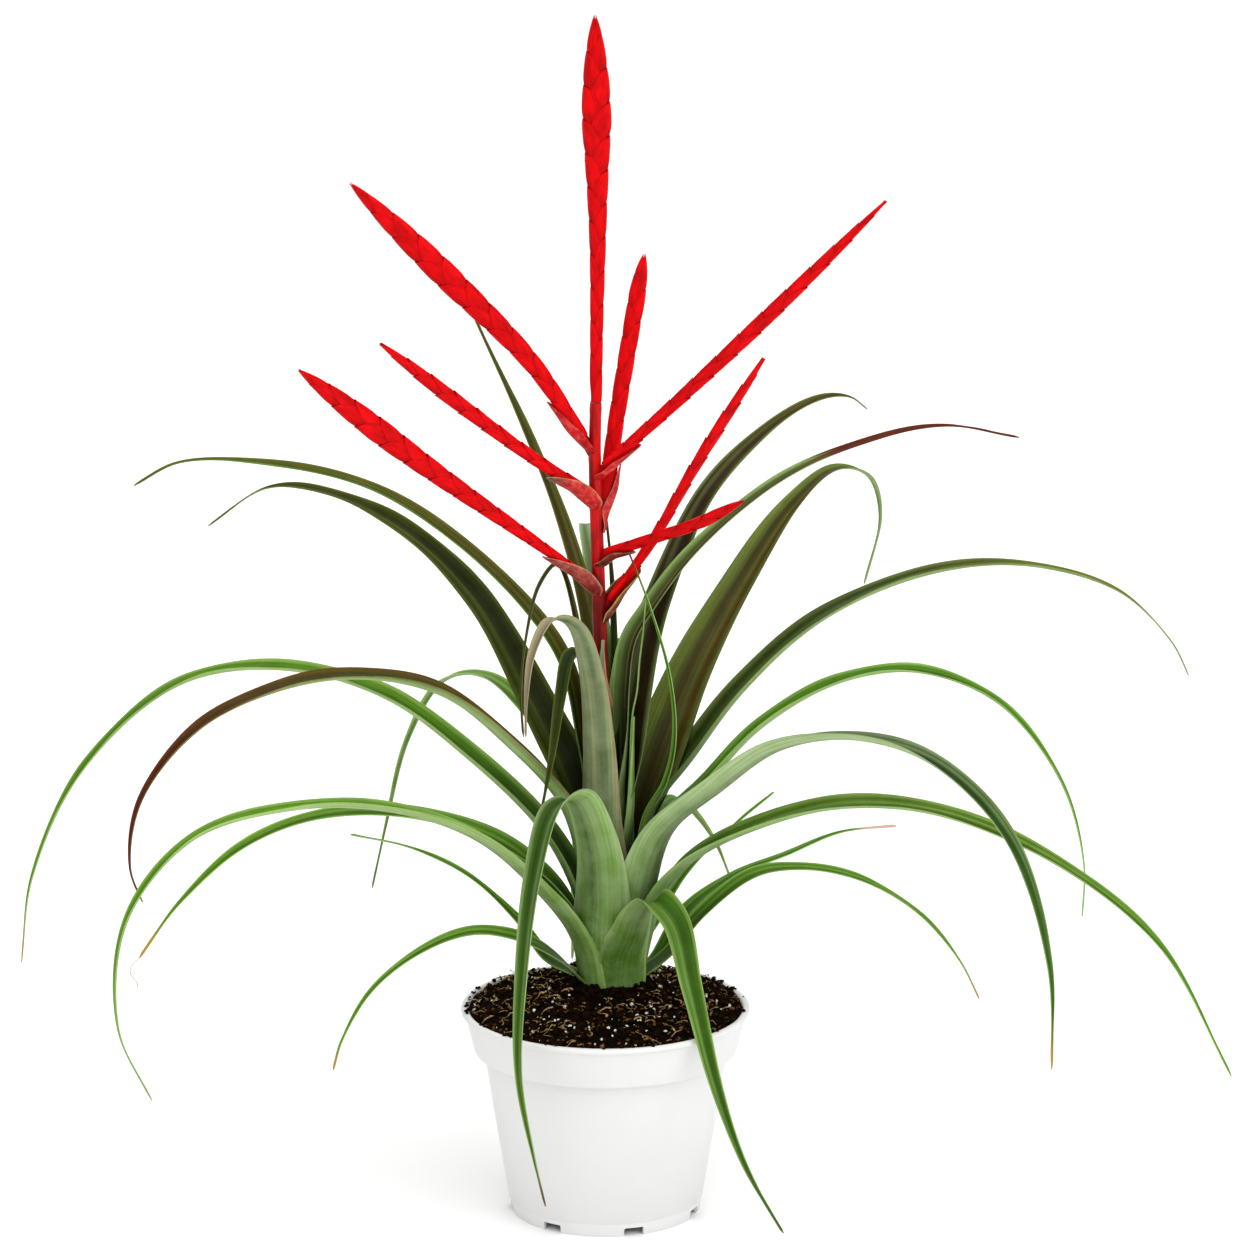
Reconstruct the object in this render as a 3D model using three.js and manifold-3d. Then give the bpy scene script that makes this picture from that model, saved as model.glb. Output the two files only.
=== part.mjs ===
// A potted bromeliad: a white nursery pot, peat soil, a rosette of arching leaves on a short stem,
// and a tall flower stalk with eight flattened red spikes. Millimetres, +Z up, origin at the pot's
// base centre, front towards -Y. A turn is an angle about +Z: 0 is right, 90 back, 180 left, 270 front.
import * as THREE from 'three';
import * as BufferGeometryUtils from 'three/addons/utils/BufferGeometryUtils.js';
import Module from 'manifold-3d';

const wasm = await Module();
wasm.setup();

// Pot: a six-inch azalea pot.
const POT_HEIGHT = 111;
const POT_RIM_RADIUS = 76;
const POT_LIP_HEIGHT = 3.2;
const POT_BAND_RADIUS = 74;
const POT_BAND_FOOT_RADIUS = 69.5;
const POT_BAND_HEIGHT = 22;
const POT_BODY_TOP_RADIUS = 64;
const POT_BODY_FOOT_RADIUS = 51.5;
const POT_FOOT_RADIUS = 50;
const POT_FOOT_HEIGHT = 8;
const POT_WALL = 1.8;
const POT_FLOOR_UNDERSIDE = 5;
const NOTCH_COUNT = 7;
const NOTCH_FIRST_TURN = 236;
const NOTCH_HEIGHT = 4.4;
const NOTCH_WIDTH = 13;
const DRAIN_WIDTH = 9;
const DRAIN_DEPTH = 7;
const POT_SIDES = 42;

// Soil, heaped a little towards the plant.
const GAP = 0.4;
const SOIL_EDGE_Z = 110;
const SOIL_HEAP = 7.5;
const SOIL_LUMP = 1.3;
const SOIL_RINGS = 7;
const SOIL_SIDES = 36;

// Plant: its axis stands behind the pot's centre and leans a little to the left.
const PLANT_X = 5;
const PLANT_Y = 12;
const SOIL_LINE = 118;
const STEM_FOOT_Z = 88;
const CROWN_RADIUS = 14.5;
const CROWN_TOP_Z = 205;
const SCAPE_RADIUS = 4.3;
const SCAPE_TOP_RADIUS = 3;
const STEM_TOP_Z = 432;
const STEM_BUTT_Z = 431.9;
const STEM_SIDES = 14;
const STEM_LINE = [
  [5, STEM_FOOT_Z], [5, SOIL_LINE], [2.5, 200], [-2, 290], [-4.2, 360], [-5.3, 402], [-4.8, STEM_TOP_Z],
];

// Leaves.
const LEAF_THICK_BASE = 0.9;
const LEAF_THICK_TIP = 0.7;
const LEAF_TIP_WIDTH = 1.4;
const LEAF_STATIONS = 12;
const WIDE_BLADE = 13;
const LEAF_CLEARANCE = 0.33;
const BLADE_STAND_OFF = 1.35;
const PLAIN_BLADE = {
  taper: 0.92, tipTurn: 0, wrap: 1.3, fullest: 1.15, sheathed: 55, clasp: 6, steady: 0, margin: 0,
  tip: LEAF_TIP_WIDTH, stationCount: LEAF_STATIONS,
};

// Spikes and their bracts.
const BRACT_PITCH = 19;
const NOTCH_STEP = 0.8;
const NOTCH_DEPTH = 0.13;
const SPIKE_FLATNESS = 0.36;
const SPIKE_EDGE = 0.7;
const SPIKE_RISE = 1.1;
const BRACT_MARGIN = 1.5;
const BRACT_STEPS = [0.3, 0.65, 1];
const BRACT_BLADE = {
  fold: 125, twist: 0, tipTurn: 0, taper: 0.45, wrap: 1.4, fullest: 2.3, sheathed: 13, clasp: 0,
  steady: 1, margin: 0, tip: LEAF_TIP_WIDTH, stationCount: 7,
};

const COLOURS = {
  pot: 0xf1f2f4, soil: 0x2b1d14, stem: 0xa3161a, spike: 0xe00a14, bract: 0xb5604c,
  fresh: 0x6f9a3c, green: 0x55803a, pale: 0x8fa777, deep: 0x2f4520, olive: 0x56502a, red: 0x5a3427,
};

// Each leaf: name, turn, start height above the soil line, blade width, fold (half angle of its
// channel, in degrees), twist (degrees, growing near the foot), tipTurn (further twist of the outer
// half), taper, clasp (how much wider its foot is), how far away from the stem it clasps other feet,
// length that is sheathed round the stem, colour and its path after the stem as [out from the plant's
// axis, height, sideways].
const LEAVES = [
  { name: 'leaf_front_right_hanging', turn: 282, start: 2, width: 25, fold: 47, twist: 20, taper: 1.15,
    clasp: 8, away: 1.5, sheathed: 42, tone: 'fresh',
    path: [[20.8, 137.6, -0.1], [25.4, 150.6, 3.3], [31.4, 166.6, 7.7], [39.6, 175, 13.1],
      [52.8, 167, 21.4], [70.3, 136, 26.2], [91.1, 92, 33.6], [115.2, 55, 43.3], [147.6, 28, 56.4]] },
  { name: 'leaf_left_lowest', turn: 196, start: 1, width: 12, fold: 40, twist: -25, taper: 0.91, clasp: 4,
    tone: 'fresh',
    path: [[32, 136], [54, 149], [78, 154], [105, 146], [132, 127], [148, 101], [153, 85]] },
  { name: 'leaf_back_left_low', turn: 150, start: 1, width: 7, fold: 49, twist: -20, taper: 0.92,
    clasp: 3, tone: 'fresh',
    path: [[27, 122], [42, 127], [61, 146], [90, 165], [125, 175], [165, 177]] },
  { name: 'leaf_right_low', turn: 22, start: 5, width: 12, fold: 50, twist: 30, tipTurn: 20, taper: 0.92,
    clasp: 1, tone: 'fresh',
    path: [[31, 133], [50, 152], [78, 170], [106, 171], [141, 161], [177, 137], [201, 108], [213, 85]] },
  { name: 'leaf_back_right_low', turn: 45, start: 1, width: 8, fold: 35, twist: 30, taper: 0.95, clasp: 4,
    tone: 'green',
    path: [[32, 126], [52, 147], [90, 160], [131, 163], [171, 167], [219, 161]] },
  { name: 'leaf_back_low', turn: 100, start: 3, width: 22, fold: 40, twist: 0, tone: 'green',
    path: [[22, 150], [48, 184], [80, 192], [112, 165], [130, 125], [138, 90]] },
  { name: 'leaf_right_low_long', turn: 338, start: 9, width: 27, fold: 53, twist: 12, taper: 0.93,
    clasp: 8, tone: 'green',
    path: [[20.6, 150], [27.5, 170], [43, 190], [76, 211], [125, 229], [180, 231], [244, 211], [298, 174],
      [337, 110]] },
  { name: 'leaf_left_low_arch', turn: 204, start: 3, width: 29, fold: 56, twist: 2, taper: 1.04, clasp: 6,
    away: 2.9, tone: 'fresh',
    path: [[23.5, 145], [44, 174], [79, 207], [127, 228], [181, 235], [235, 225], [270, 187], [276, 131],
      [259, 90]] },
  { name: 'leaf_left_low_inner', turn: 188, start: 12, width: 20, fold: 49, twist: -24, tipTurn: -20,
    taper: 0.91, clasp: 8, tone: 'fresh',
    path: [[18.8, 145], [27, 165], [58, 197], [105, 215], [155, 217], [196, 202], [228, 174], [250, 144]] },
  { name: 'leaf_front_left_hanging', turn: 243, start: 6, width: 28, fold: 46, twist: 20, taper: 0.94,
    clasp: 11, sheathed: 80, tone: 'pale',
    path: [[23.4, 150, 2], [26, 176, 4.5], [31.5, 205, 4.5], [46, 231, 2], [68, 231], [89, 200],
      [102.5, 152], [107, 100], [110, 57, 10], [106, 31, 14]] },
  { name: 'leaf_right_broad', turn: 321, start: 13, width: 38, fold: 51, twist: -8, tipTurn: 26,
    taper: 1.05, clasp: 11, tone: 'pale',
    path: [[18.3, 150], [22, 176], [34, 206], [67, 235], [108, 265], [159, 279], [210, 273], [254, 241],
      [277, 184], [280, 130]] },
  { name: 'leaf_left_long', turn: 172, start: 17, width: 29, fold: 51, twist: -4, tipTurn: -25,
    taper: 0.92, clasp: 8, tone: 'fresh',
    path: [[17.5, 150], [23, 172], [40, 203], [78, 240], [122, 271], [176, 284], [231, 274], [285, 225],
      [314, 164], [321, 117]] },
  { name: 'leaf_back_right_hanging', turn: 62, start: 12, width: 16, fold: 52, twist: 3, taper: 0.89,
    clasp: 8, tone: 'fresh',
    path: [[19, 160], [40, 195], [66, 204], [92, 188], [118, 164], [135, 140]] },
  { name: 'leaf_right_middle', turn: 350, start: 19, width: 29, fold: 51, twist: 8, taper: 1.1, clasp: 8,
    tone: 'green',
    path: [[16.3, 155], [18, 176], [25, 203], [48, 229], [78, 263], [119, 289], [160, 296], [201, 281],
      [233, 242], [246, 199], [246, 169]] },
  { name: 'leaf_left_red', turn: 199, start: 21, width: 34, fold: 58, twist: -4, tipTurn: -10,
    taper: 0.92, clasp: 8, tone: 'red',
    path: [[16.3, 155], [18.8, 180], [30, 219], [60, 255], [94, 284], [137, 297], [179, 295], [222, 279],
      [254, 244], [261, 208], [255, 189]] },
  { name: 'leaf_back_left_pale', turn: 132, start: 21, width: 18, fold: 49, twist: -6, taper: 0.91,
    clasp: 8, tone: 'pale',
    path: [[15.8, 155], [17.8, 180], [32, 220], [63, 249], [101, 266], [138, 257], [169, 218], [188, 167],
      [201, 127]] },
  { name: 'leaf_back_arch', turn: 94, start: 26, width: 22, fold: 40, twist: 0, tone: 'green',
    path: [[13.2, 160], [14.8, 180], [24, 215], [50, 252], [84, 258], [114, 232], [130, 190], [138, 155]] },
  { name: 'leaf_right_long', turn: 8, start: 27, width: 39, fold: 49, twist: 3, taper: 1.1, clasp: 8,
    tone: 'deep',
    path: [[14.3, 165], [15.5, 190], [22, 216], [40, 240], [68, 277], [109, 313], [162, 335], [214, 339],
      [267, 323], [296, 295], [306, 276]] },
  { name: 'leaf_left_high_broad', turn: 152, start: 33, width: 33, fold: 49, twist: -59, tipTurn: 35,
    taper: 1.08, clasp: 8, tone: 'deep',
    path: [[12.3, 170], [14.5, 197], [24, 227], [47, 269], [82, 320], [124, 351], [171, 366], [210, 365],
      [248, 340]] },
  { name: 'leaf_back_right_broad', turn: 40, start: 39, width: 44, fold: 49, twist: 45, tipTurn: -45,
    taper: 1.2, clasp: 3, sheathed: 90, tone: 'olive',
    path: [[11.2, 170], [12.2, 192], [16.5, 212], [26, 234], [52, 282], [86, 325], [122, 360], [153, 375],
      [178, 367], [186, 344], [175, 309]] },
  { name: 'leaf_front_pale', turn: 236, start: 28, width: 32, fold: 49, twist: 13, taper: 0.89, clasp: 7,
    tone: 'pale',
    path: [[14.2, 165, 1], [15.6, 200, 0], [17, 250, 0], [25, 292, 1], [38, 320, 1], [56, 327.5, -1],
      [74, 314], [80, 292], [81, 272]] },
  { name: 'leaf_back_high', turn: 88, start: 47, width: 20, fold: 35, twist: 0, tone: 'green',
    path: [[10.8, 185], [12.2, 210], [19, 245], [44, 281], [74, 288], [102, 264], [120, 226], [127, 200]] },
  { name: 'leaf_left_high_thin', turn: 164, start: 46, width: 19, fold: 49, twist: -20, tipTurn: -25,
    taper: 0.93, clasp: 8, tone: 'olive',
    path: [[11.6, 185], [13.5, 212], [19, 250], [28, 291], [47, 319], [83, 351], [129, 378], [192, 389],
      [239, 386], [265, 372]] },
  { name: 'leaf_right_high_dark', turn: 42, start: 58, width: 26, fold: 48, twist: 42, taper: 0.88,
    clasp: 9, sheathed: 110, tone: 'deep',
    path: [[7.2, 195], [8, 225], [10, 262], [17.5, 292], [30, 322], [62, 372], [106, 402], [146, 414],
      [168, 412], [182, 403]] },
  { name: 'leaf_back_blunt', turn: 108, start: 68, width: 18, fold: 30, twist: 0, sheathed: 90,
    tone: 'pale',
    path: [[9.1, 205], [12.3, 240], [22, 295], [44, 338, -1], [66, 352, -5], [92, 340, -17],
      [112, 305, -28], [124, 265, -33]] },
  { name: 'leaf_front_left_dark', turn: 210, start: 49, width: 22, fold: 44, twist: -16, tipTurn: -25,
    taper: 0.85, clasp: 4, sheathed: 90, tone: 'deep',
    path: [[10.4, 200], [12, 240], [15, 280], [20, 299], [26, 301], [32.7, 280, 1], [40.7, 249, 5],
      [48.2, 221, 7]] },
  { name: 'leaf_right_dry_tip', turn: 342, start: 33, width: 8, fold: 51, twist: 55, taper: 0.92,
    clasp: 2, tone: 'green',
    path: [[12.8, 170], [14, 190], [18, 212], [28, 232], [33, 256], [30, 290], [19, 326], [7, 355]] },
  { name: 'leaf_right_high_thin', turn: 28, start: 72, width: 17, fold: 52, twist: 20, tipTurn: 20,
    taper: 1, clasp: 12, sheathed: 90, tone: 'olive',
    path: [[5.2, 220], [5.2, 255], [5.6, 282], [9.5, 305], [19, 319], [45, 347], [91, 378], [146, 396],
      [199, 400], [245, 389]] },
  { name: 'leaf_back_left_straight', turn: 124, start: 76, width: 17, fold: 51, twist: -5, tipTurn: 5,
    taper: 0.75, clasp: 8, sheathed: 110, tone: 'olive',
    path: [[7.5, 220], [11.3, 260], [26.5, 316], [50, 360], [81, 399], [135, 456]] },
  { name: 'leaf_back_left_curl', turn: 176, start: 61, width: 8, fold: 50, twist: -50, taper: 0.92,
    clasp: 2, tone: 'olive',
    path: [[9.4, 205, -4.8], [13, 245, -3.8], [18.5, 305, -2], [30, 346], [39, 335], [46, 308], [49, 278],
      [48, 253]] },
  { name: 'leaf_centre_upright', turn: 60, start: 84, width: 9, fold: 30, twist: 0, taper: 0.7, clasp: 1,
    tone: 'deep',
    path: [[5.3, 230, 2.7], [6.1, 290, 3.5], [7.3, 330, 5.4], [7.8, 350, 7.4], [8.2, 368, 9.8]] },
  { name: 'leaf_back_right_thin', turn: 52, start: 6, width: 6, fold: 49, twist: 12, taper: 0.93,
    clasp: 2, tone: 'green',
    path: [[24, 138], [33, 144], [60, 165], [109, 184], [140, 193]] },
  { name: 'leaf_centre_strip', turn: 335, start: 70, width: 4, fold: 30, twist: 0, clasp: 0, tone: 'deep',
    path: [[8.5, 230], [10.2, 267], [12.8, 280], [14.2, 296], [16.3, 313], [17.7, 329]] },
  { name: 'leaf_centre_young', turn: 320, start: 66, width: 9, fold: 34, twist: 0, clasp: 2, tone: 'deep',
    path: [[11, 215], [12, 240], [13, 267]] },
  { name: 'leaf_stalk_young', turn: 285, start: 152, width: 11, fold: 50, twist: 0, clasp: 0,
    sheathed: 30, tone: 'pale',
    path: [[3.2, 284, -8], [4.2, 295, -8], [6.5, 308, -8]] },
];

// Side spikes: name, turn, path as [out from the stem's axis, height], width, roll of the flat face,
// share of the length where the spike is widest, and width at its root as a share.
const SPIKES = [
  { name: 'spike_left_top', turn: 188, width: 13.4, roll: 0, widest: 0.6, root: 0.5,
    bract: { length: 27, width: 19, drop: 8 },
    path: [[6.4, 414], [33, 454], [77.8, 501.3], [125, 549]] },
  { name: 'spike_left_middle', turn: 215, width: 8.4, roll: 15, widest: 0.62, root: 0.7,
    bract: { length: 27, width: 22, drop: 9 },
    path: [[5.4, 386], [35, 405], [83.5, 441], [130.5, 477.5]] },
  { name: 'spike_left_low', turn: 205, width: 12.9, roll: 10, widest: 0.7, root: 0.3,
    bract: { length: 30, width: 22, drop: 8 },
    path: [[5.4, 339], [44, 368], [97, 408], [165, 463]] },
  { name: 'spike_right_short', turn: 46, width: 8.8, roll: -46, widest: 0.8, root: 0.9,
    bract: { length: 20, width: 14, drop: 16 },
    path: [[7.3, 380], [14.2, 415.5], [26.3, 466], [36.2, 505]] },
  { name: 'spike_right_long', turn: 342, width: 8, roll: 25, widest: 0.5, root: 0.7,
    bract: { length: 22, width: 17, drop: 7 },
    path: [[5.6, 399], [46, 437], [99, 489], [154, 545]] },
  { name: 'spike_right_thin', turn: 14, width: 7, roll: 25, widest: 0.65, root: 0.75,
    bract: { length: 22, width: 23, drop: 11 },
    path: [[5.9, 327], [27, 355], [53.5, 399], [88, 451]] },
  { name: 'spike_right_low', turn: 325, width: 6.2, roll: 10, widest: 0.7, root: 0.85,
    bract: { length: 18, width: 16, drop: 7 },
    path: [[5, 353], [39, 366.5], [64, 377], [91, 392]] },
];
const TOP_SPIKE = { name: 'spike_top', width: 15, widest: 0.72, root: 0.42, rise: 2.6,
  line: [[-4.8, 432.4], [-4.2, 476], [-3.7, 514], [-4.1, 572], [-4.9, 632]] };

const UP = new THREE.Vector3(0, 0, 1);

function smooth(low, high, value) {
  return THREE.MathUtils.smoothstep(value, low, high);
}

function direction(turn) {
  const angle = THREE.MathUtils.degToRad(turn);
  return new THREE.Vector3(Math.cos(angle), Math.sin(angle), 0);
}

// The same draws on every run.
function seededRandom(seed) {
  let state = seed;
  return () => {
    state = (state * 1103515245 + 12345) % 2147483648;
    return state / 2147483648;
  };
}

function addNamed(group, name, geometry, colour, roughness) {
  const material = new THREE.MeshStandardMaterial({ color: colour, roughness, metalness: 0 });
  const mesh = new THREE.Mesh(geometry, material);
  mesh.name = name;
  group.add(mesh);
}

// A closed solid through stations that each hold an upper and a lower row of points, left to right.
// Both rows are split into triangles alike, so a thin twisted blade keeps its thickness.
function loftRows(stations) {
  const columns = stations[0].upper.length;
  const positions = [];
  const triangles = [];
  for (const { upper, lower } of stations) {
    for (const point of [...upper, ...lower]) {
      positions.push(point.x, point.y, point.z);
    }
  }
  const at = (station, row, column) => (2 * station + row) * columns + column;
  const quad = (a, b, c, d) => triangles.push(a, b, c, a, c, d);
  const last = stations.length - 1;
  for (let station = 0; station < last; station += 1) {
    for (let column = 0; column < columns - 1; column += 1) {
      quad(at(station, 0, column), at(station, 0, column + 1), at(station + 1, 0, column + 1),
        at(station + 1, 0, column));
      quad(at(station, 1, column), at(station + 1, 1, column), at(station + 1, 1, column + 1),
        at(station, 1, column + 1));
    }
    quad(at(station, 0, 0), at(station + 1, 0, 0), at(station + 1, 1, 0), at(station, 1, 0));
    const edge = columns - 1;
    quad(at(station, 0, edge), at(station, 1, edge), at(station + 1, 1, edge), at(station + 1, 0, edge));
  }
  for (let column = 0; column < columns - 1; column += 1) {
    quad(at(0, 0, column), at(0, 1, column), at(0, 1, column + 1), at(0, 0, column + 1));
    quad(at(last, 0, column), at(last, 0, column + 1), at(last, 1, column + 1), at(last, 1, column));
  }
  const geometry = new THREE.BufferGeometry();
  geometry.setAttribute('position', new THREE.Float32BufferAttribute(positions, 3));
  geometry.setIndex(triangles);
  return geometry;
}

const stemCurve = new THREE.CatmullRomCurve3(
  STEM_LINE.map(([x, z]) => new THREE.Vector3(x, PLANT_Y, z)),
);

function stemCentre(height) {
  let low = 0;
  let high = 1;
  for (let step = 0; step < 24; step += 1) {
    const middle = (low + high) / 2;
    if (stemCurve.getPoint(middle).z < height) {
      low = middle;
    } else {
      high = middle;
    }
  }
  const centre = stemCurve.getPoint(low);
  centre.z = height;
  return centre;
}

function crownRadius(height) {
  if (height > CROWN_TOP_Z) {
    const above = (height - CROWN_TOP_Z) / (STEM_TOP_Z - CROWN_TOP_Z);
    return THREE.MathUtils.lerp(SCAPE_RADIUS, SCAPE_TOP_RADIUS, above);
  }
  return THREE.MathUtils.lerp(CROWN_RADIUS, SCAPE_RADIUS, smooth(SOIL_LINE, CROWN_TOP_Z, height));
}

// A blade along knots that begin beside the stem: first an arc round the stem, then a channel. Its
// breadth lies along side; steady keeps the channel's radius as the blade gets narrower.
function bladeGeometry(knots, side, blade) {
  const { width, fold, twist, tipTurn, taper, clasp, tip } = blade;
  const { wrap, fullest, sheathed, steady, margin, stationCount } = blade;
  const curve = new THREE.CatmullRomCurve3(knots, false, 'centripetal');
  const length = curve.getLength();
  const columns = width > WIDE_BLADE ? 5 : 3;
  const foldAngle = THREE.MathUtils.degToRad(fold);
  const stations = [];
  for (let index = 0; index <= stationCount; index += 1) {
    const share = index / stationCount;
    const centre = curve.getPointAt(share);
    const along = curve.getTangentAt(share);
    const sheath = 1 - smooth(0.15 * sheathed, sheathed, share * length);
    const toStem = stemCentre(centre.z).sub(centre);
    const reach = toStem.length();
    const flatSide = side.clone().addScaledVector(along, -side.dot(along)).normalize();
    const inward = new THREE.Vector3().crossVectors(along, flatSide).normalize();
    inward.lerp(toStem.normalize(), sheath).normalize();
    flatSide.crossVectors(inward, along).normalize();
    const degrees = twist * smooth(0.03, 0.32, share) + tipTurn * smooth(0.5, 0.85, share);
    const turned = THREE.MathUtils.degToRad(degrees);
    flatSide.applyAxisAngle(along, turned);
    inward.applyAxisAngle(along, turned);
    const clasping = clasp * (1 - smooth(0.2 * sheathed, 1.5 * sheathed, share * length));
    const breadth = Math.max(tip, width * Math.pow(1 - share, taper) + clasping);
    const channel = THREE.MathUtils.lerp(breadth, width, steady);
    const curl = THREE.MathUtils.lerp(2 * foldAngle / channel, 1 / reach, sheath);
    const opening = Math.min(breadth * curl / 2, THREE.MathUtils.lerp(fullest, wrap, sheath));
    const halfAngle = opening + margin * curl;
    const thick = THREE.MathUtils.lerp(LEAF_THICK_BASE, LEAF_THICK_TIP, share) + 2 * margin;
    const upper = [];
    const lower = [];
    for (let column = 0; column < columns; column += 1) {
      const angle = halfAngle * (1 - 2 * column / (columns - 1));
      const row = (radius) => centre.clone()
        .addScaledVector(flatSide, radius * Math.sin(angle))
        .addScaledVector(inward, 1 / curl - radius * Math.cos(angle));
      upper.push(row(1 / curl - thick / 2));
      lower.push(row(1 / curl + thick / 2));
    }
    stations.push({ upper, lower });
  }
  return loftRows(stations);
}

// The point beside the stem where the middle of a blade's thickness begins.
function besideStem(out, height, away = 0) {
  return stemCentre(height).addScaledVector(out, crownRadius(height) + BLADE_STAND_OFF + away);
}

function leafGeometry({ turn, start, away, path, ...blade }) {
  const out = direction(turn);
  const side = new THREE.Vector3().crossVectors(UP, out);
  const place = ([reach, height, sway = 0]) => new THREE.Vector3(PLANT_X, PLANT_Y, height)
    .addScaledVector(out, reach).addScaledVector(side, sway);
  const knots = [besideStem(out, SOIL_LINE + start, away), ...path.map(place)];
  return bladeGeometry(knots, side, { ...PLAIN_BLADE, ...blade });
}

function spikeShare(share, widest, root, rise) {
  if (share < widest) {
    return THREE.MathUtils.lerp(root, 1, Math.pow(share / widest, rise));
  }
  const past = (share - widest) / (1 - widest);
  return Math.pow(Math.max(0, 1 - past * past), 0.72);
}

// Stations along a spike: one on each side of every bract tip, left and right in turn.
function spikeShares(length) {
  const shares = [0];
  const count = Math.round(2 * length / BRACT_PITCH);
  for (let index = 1; index < count; index += 1) {
    const middle = index / count;
    shares.push(middle - NOTCH_STEP / 2 / length, middle + NOTCH_STEP / 2 / length);
  }
  shares.push(0.995);
  return shares;
}

function bractTeeth(share, length, offset) {
  const count = Math.round(2 * length / BRACT_PITCH);
  const position = (share * count + offset) / 2;
  return position - Math.floor(position);
}

function spikeGeometry(curve, spike, across, thicknessWay) {
  const length = curve.getLength();
  const stations = spikeShares(length).map((share) => {
    const centre = curve.getPointAt(share);
    const along = curve.getTangentAt(share);
    const half = halfWidth(spike, share);
    const wide = across.clone().addScaledVector(along, -across.dot(along)).normalize();
    const deep = thicknessWay.clone().addScaledVector(along, -thicknessWay.dot(along)).normalize();
    const upper = [];
    const lower = [];
    for (const place of [-1, 0, 1]) {
      const tooth = bractTeeth(share, length, place < 0 ? 0 : 1);
      const stretch = 1 - NOTCH_DEPTH * (1 - tooth);
      const height = SPIKE_EDGE / 2 + half * SPIKE_FLATNESS * Math.sqrt(1 - place * place);
      const point = centre.clone().addScaledVector(wide, place * half * stretch);
      upper.push(point.clone().addScaledVector(deep, height));
      lower.push(point.clone().addScaledVector(deep, -height));
    }
    return { upper, lower };
  });
  return loftRows(stations);
}

function halfWidth({ width, widest, root, rise = SPIKE_RISE }, share) {
  return Math.max(0.6, width / 2 * spikeShare(share, widest, root, rise));
}

// A side spike's curve and the two ways across it: thickness and width, the width pointing up.
function sideSpikeFrame({ turn, path, roll }) {
  const out = direction(turn);
  const side = new THREE.Vector3().crossVectors(UP, out);
  const centre = stemCentre(path[0][1]);
  const points = path.map(([reach, height]) => new THREE.Vector3(centre.x, PLANT_Y, height)
    .addScaledVector(out, reach));
  const curve = new THREE.CatmullRomCurve3(points);
  const along = curve.getTangentAt(0.5);
  const deep = side.clone().applyAxisAngle(along, THREE.MathUtils.degToRad(roll));
  const across = new THREE.Vector3().crossVectors(along, deep).normalize();
  return { out, curve, across, deep };
}

function sideSpike(spike) {
  const { curve, across, deep } = sideSpikeFrame(spike);
  return spikeGeometry(curve, spike, across, deep);
}

// The boat-shaped bract below a side spike: it clasps the stem and cups the spike's lower edge.
function bractGeometry(spike) {
  const { out, curve, across, deep } = sideSpikeFrame(spike);
  const { length, width, drop } = spike.bract;
  const knots = [besideStem(out, spike.path[0][1] - drop)];
  for (const step of BRACT_STEPS) {
    const share = step * length / curve.getLength();
    const clearance = halfWidth(spike, share) + BRACT_MARGIN;
    knots.push(curve.getPointAt(share).addScaledVector(across, -clearance));
  }
  return bladeGeometry(knots, deep, { ...BRACT_BLADE, width });
}

function topSpike(spike) {
  const curve = new THREE.CatmullRomCurve3(spike.line.map(([x, z]) => new THREE.Vector3(x, PLANT_Y, z)));
  return spikeGeometry(curve, spike, new THREE.Vector3(1, 0, 0), new THREE.Vector3(0, -1, 0));
}

function stemGeometry() {
  const heights = [
    STEM_FOOT_Z, 100, SOIL_LINE, 130, 145, 160, 175, 190, CROWN_TOP_Z, 240, 280, 320, 360, 400, STEM_BUTT_Z,
  ];
  const half = STEM_SIDES / 2;
  const stations = heights.map((height) => {
    const centre = stemCentre(height);
    const radius = height < SOIL_LINE ? CROWN_RADIUS - (SOIL_LINE - height) * 0.12 : crownRadius(height);
    const upper = [];
    const lower = [];
    for (let column = 0; column < half; column += 1) {
      const angle = Math.PI * (column + 0.5) / half;
      const x = -radius * Math.cos(angle);
      const y = radius * Math.sin(angle);
      upper.push(new THREE.Vector3(centre.x + x, centre.y - y, height));
      lower.push(new THREE.Vector3(centre.x + x, centre.y + y, height));
    }
    return { upper, lower };
  });
  return loftRows(stations);
}

function toSolid(geometry) {
  const bare = geometry.clone();
  bare.deleteAttribute('normal');
  bare.deleteAttribute('uv');
  const merged = BufferGeometryUtils.mergeVertices(bare, 1e-4);
  return new wasm.Manifold(new wasm.Mesh({
    numProp: 3,
    vertProperties: new Float32Array(merged.attributes.position.array),
    triVerts: new Uint32Array(merged.index.array),
  }));
}

function fromSolid(solid) {
  const mesh = solid.getMesh();
  const geometry = new THREE.BufferGeometry();
  geometry.setAttribute('position', new THREE.Float32BufferAttribute(mesh.vertProperties, 3));
  geometry.setIndex([...mesh.triVerts]);
  return geometry;
}

// Radius of the pot's inside wall at a height.
function potInside(height) {
  const bandFoot = POT_HEIGHT - POT_BAND_HEIGHT;
  if (height > bandFoot) {
    const share = (height - bandFoot) / POT_BAND_HEIGHT;
    return THREE.MathUtils.lerp(POT_BAND_FOOT_RADIUS, POT_BAND_RADIUS, share) - POT_WALL;
  }
  const share = (height - POT_FOOT_HEIGHT) / (bandFoot - 3 - POT_FOOT_HEIGHT);
  return THREE.MathUtils.lerp(POT_BODY_FOOT_RADIUS, POT_BODY_TOP_RADIUS, Math.min(share, 1)) - POT_WALL;
}

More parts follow.
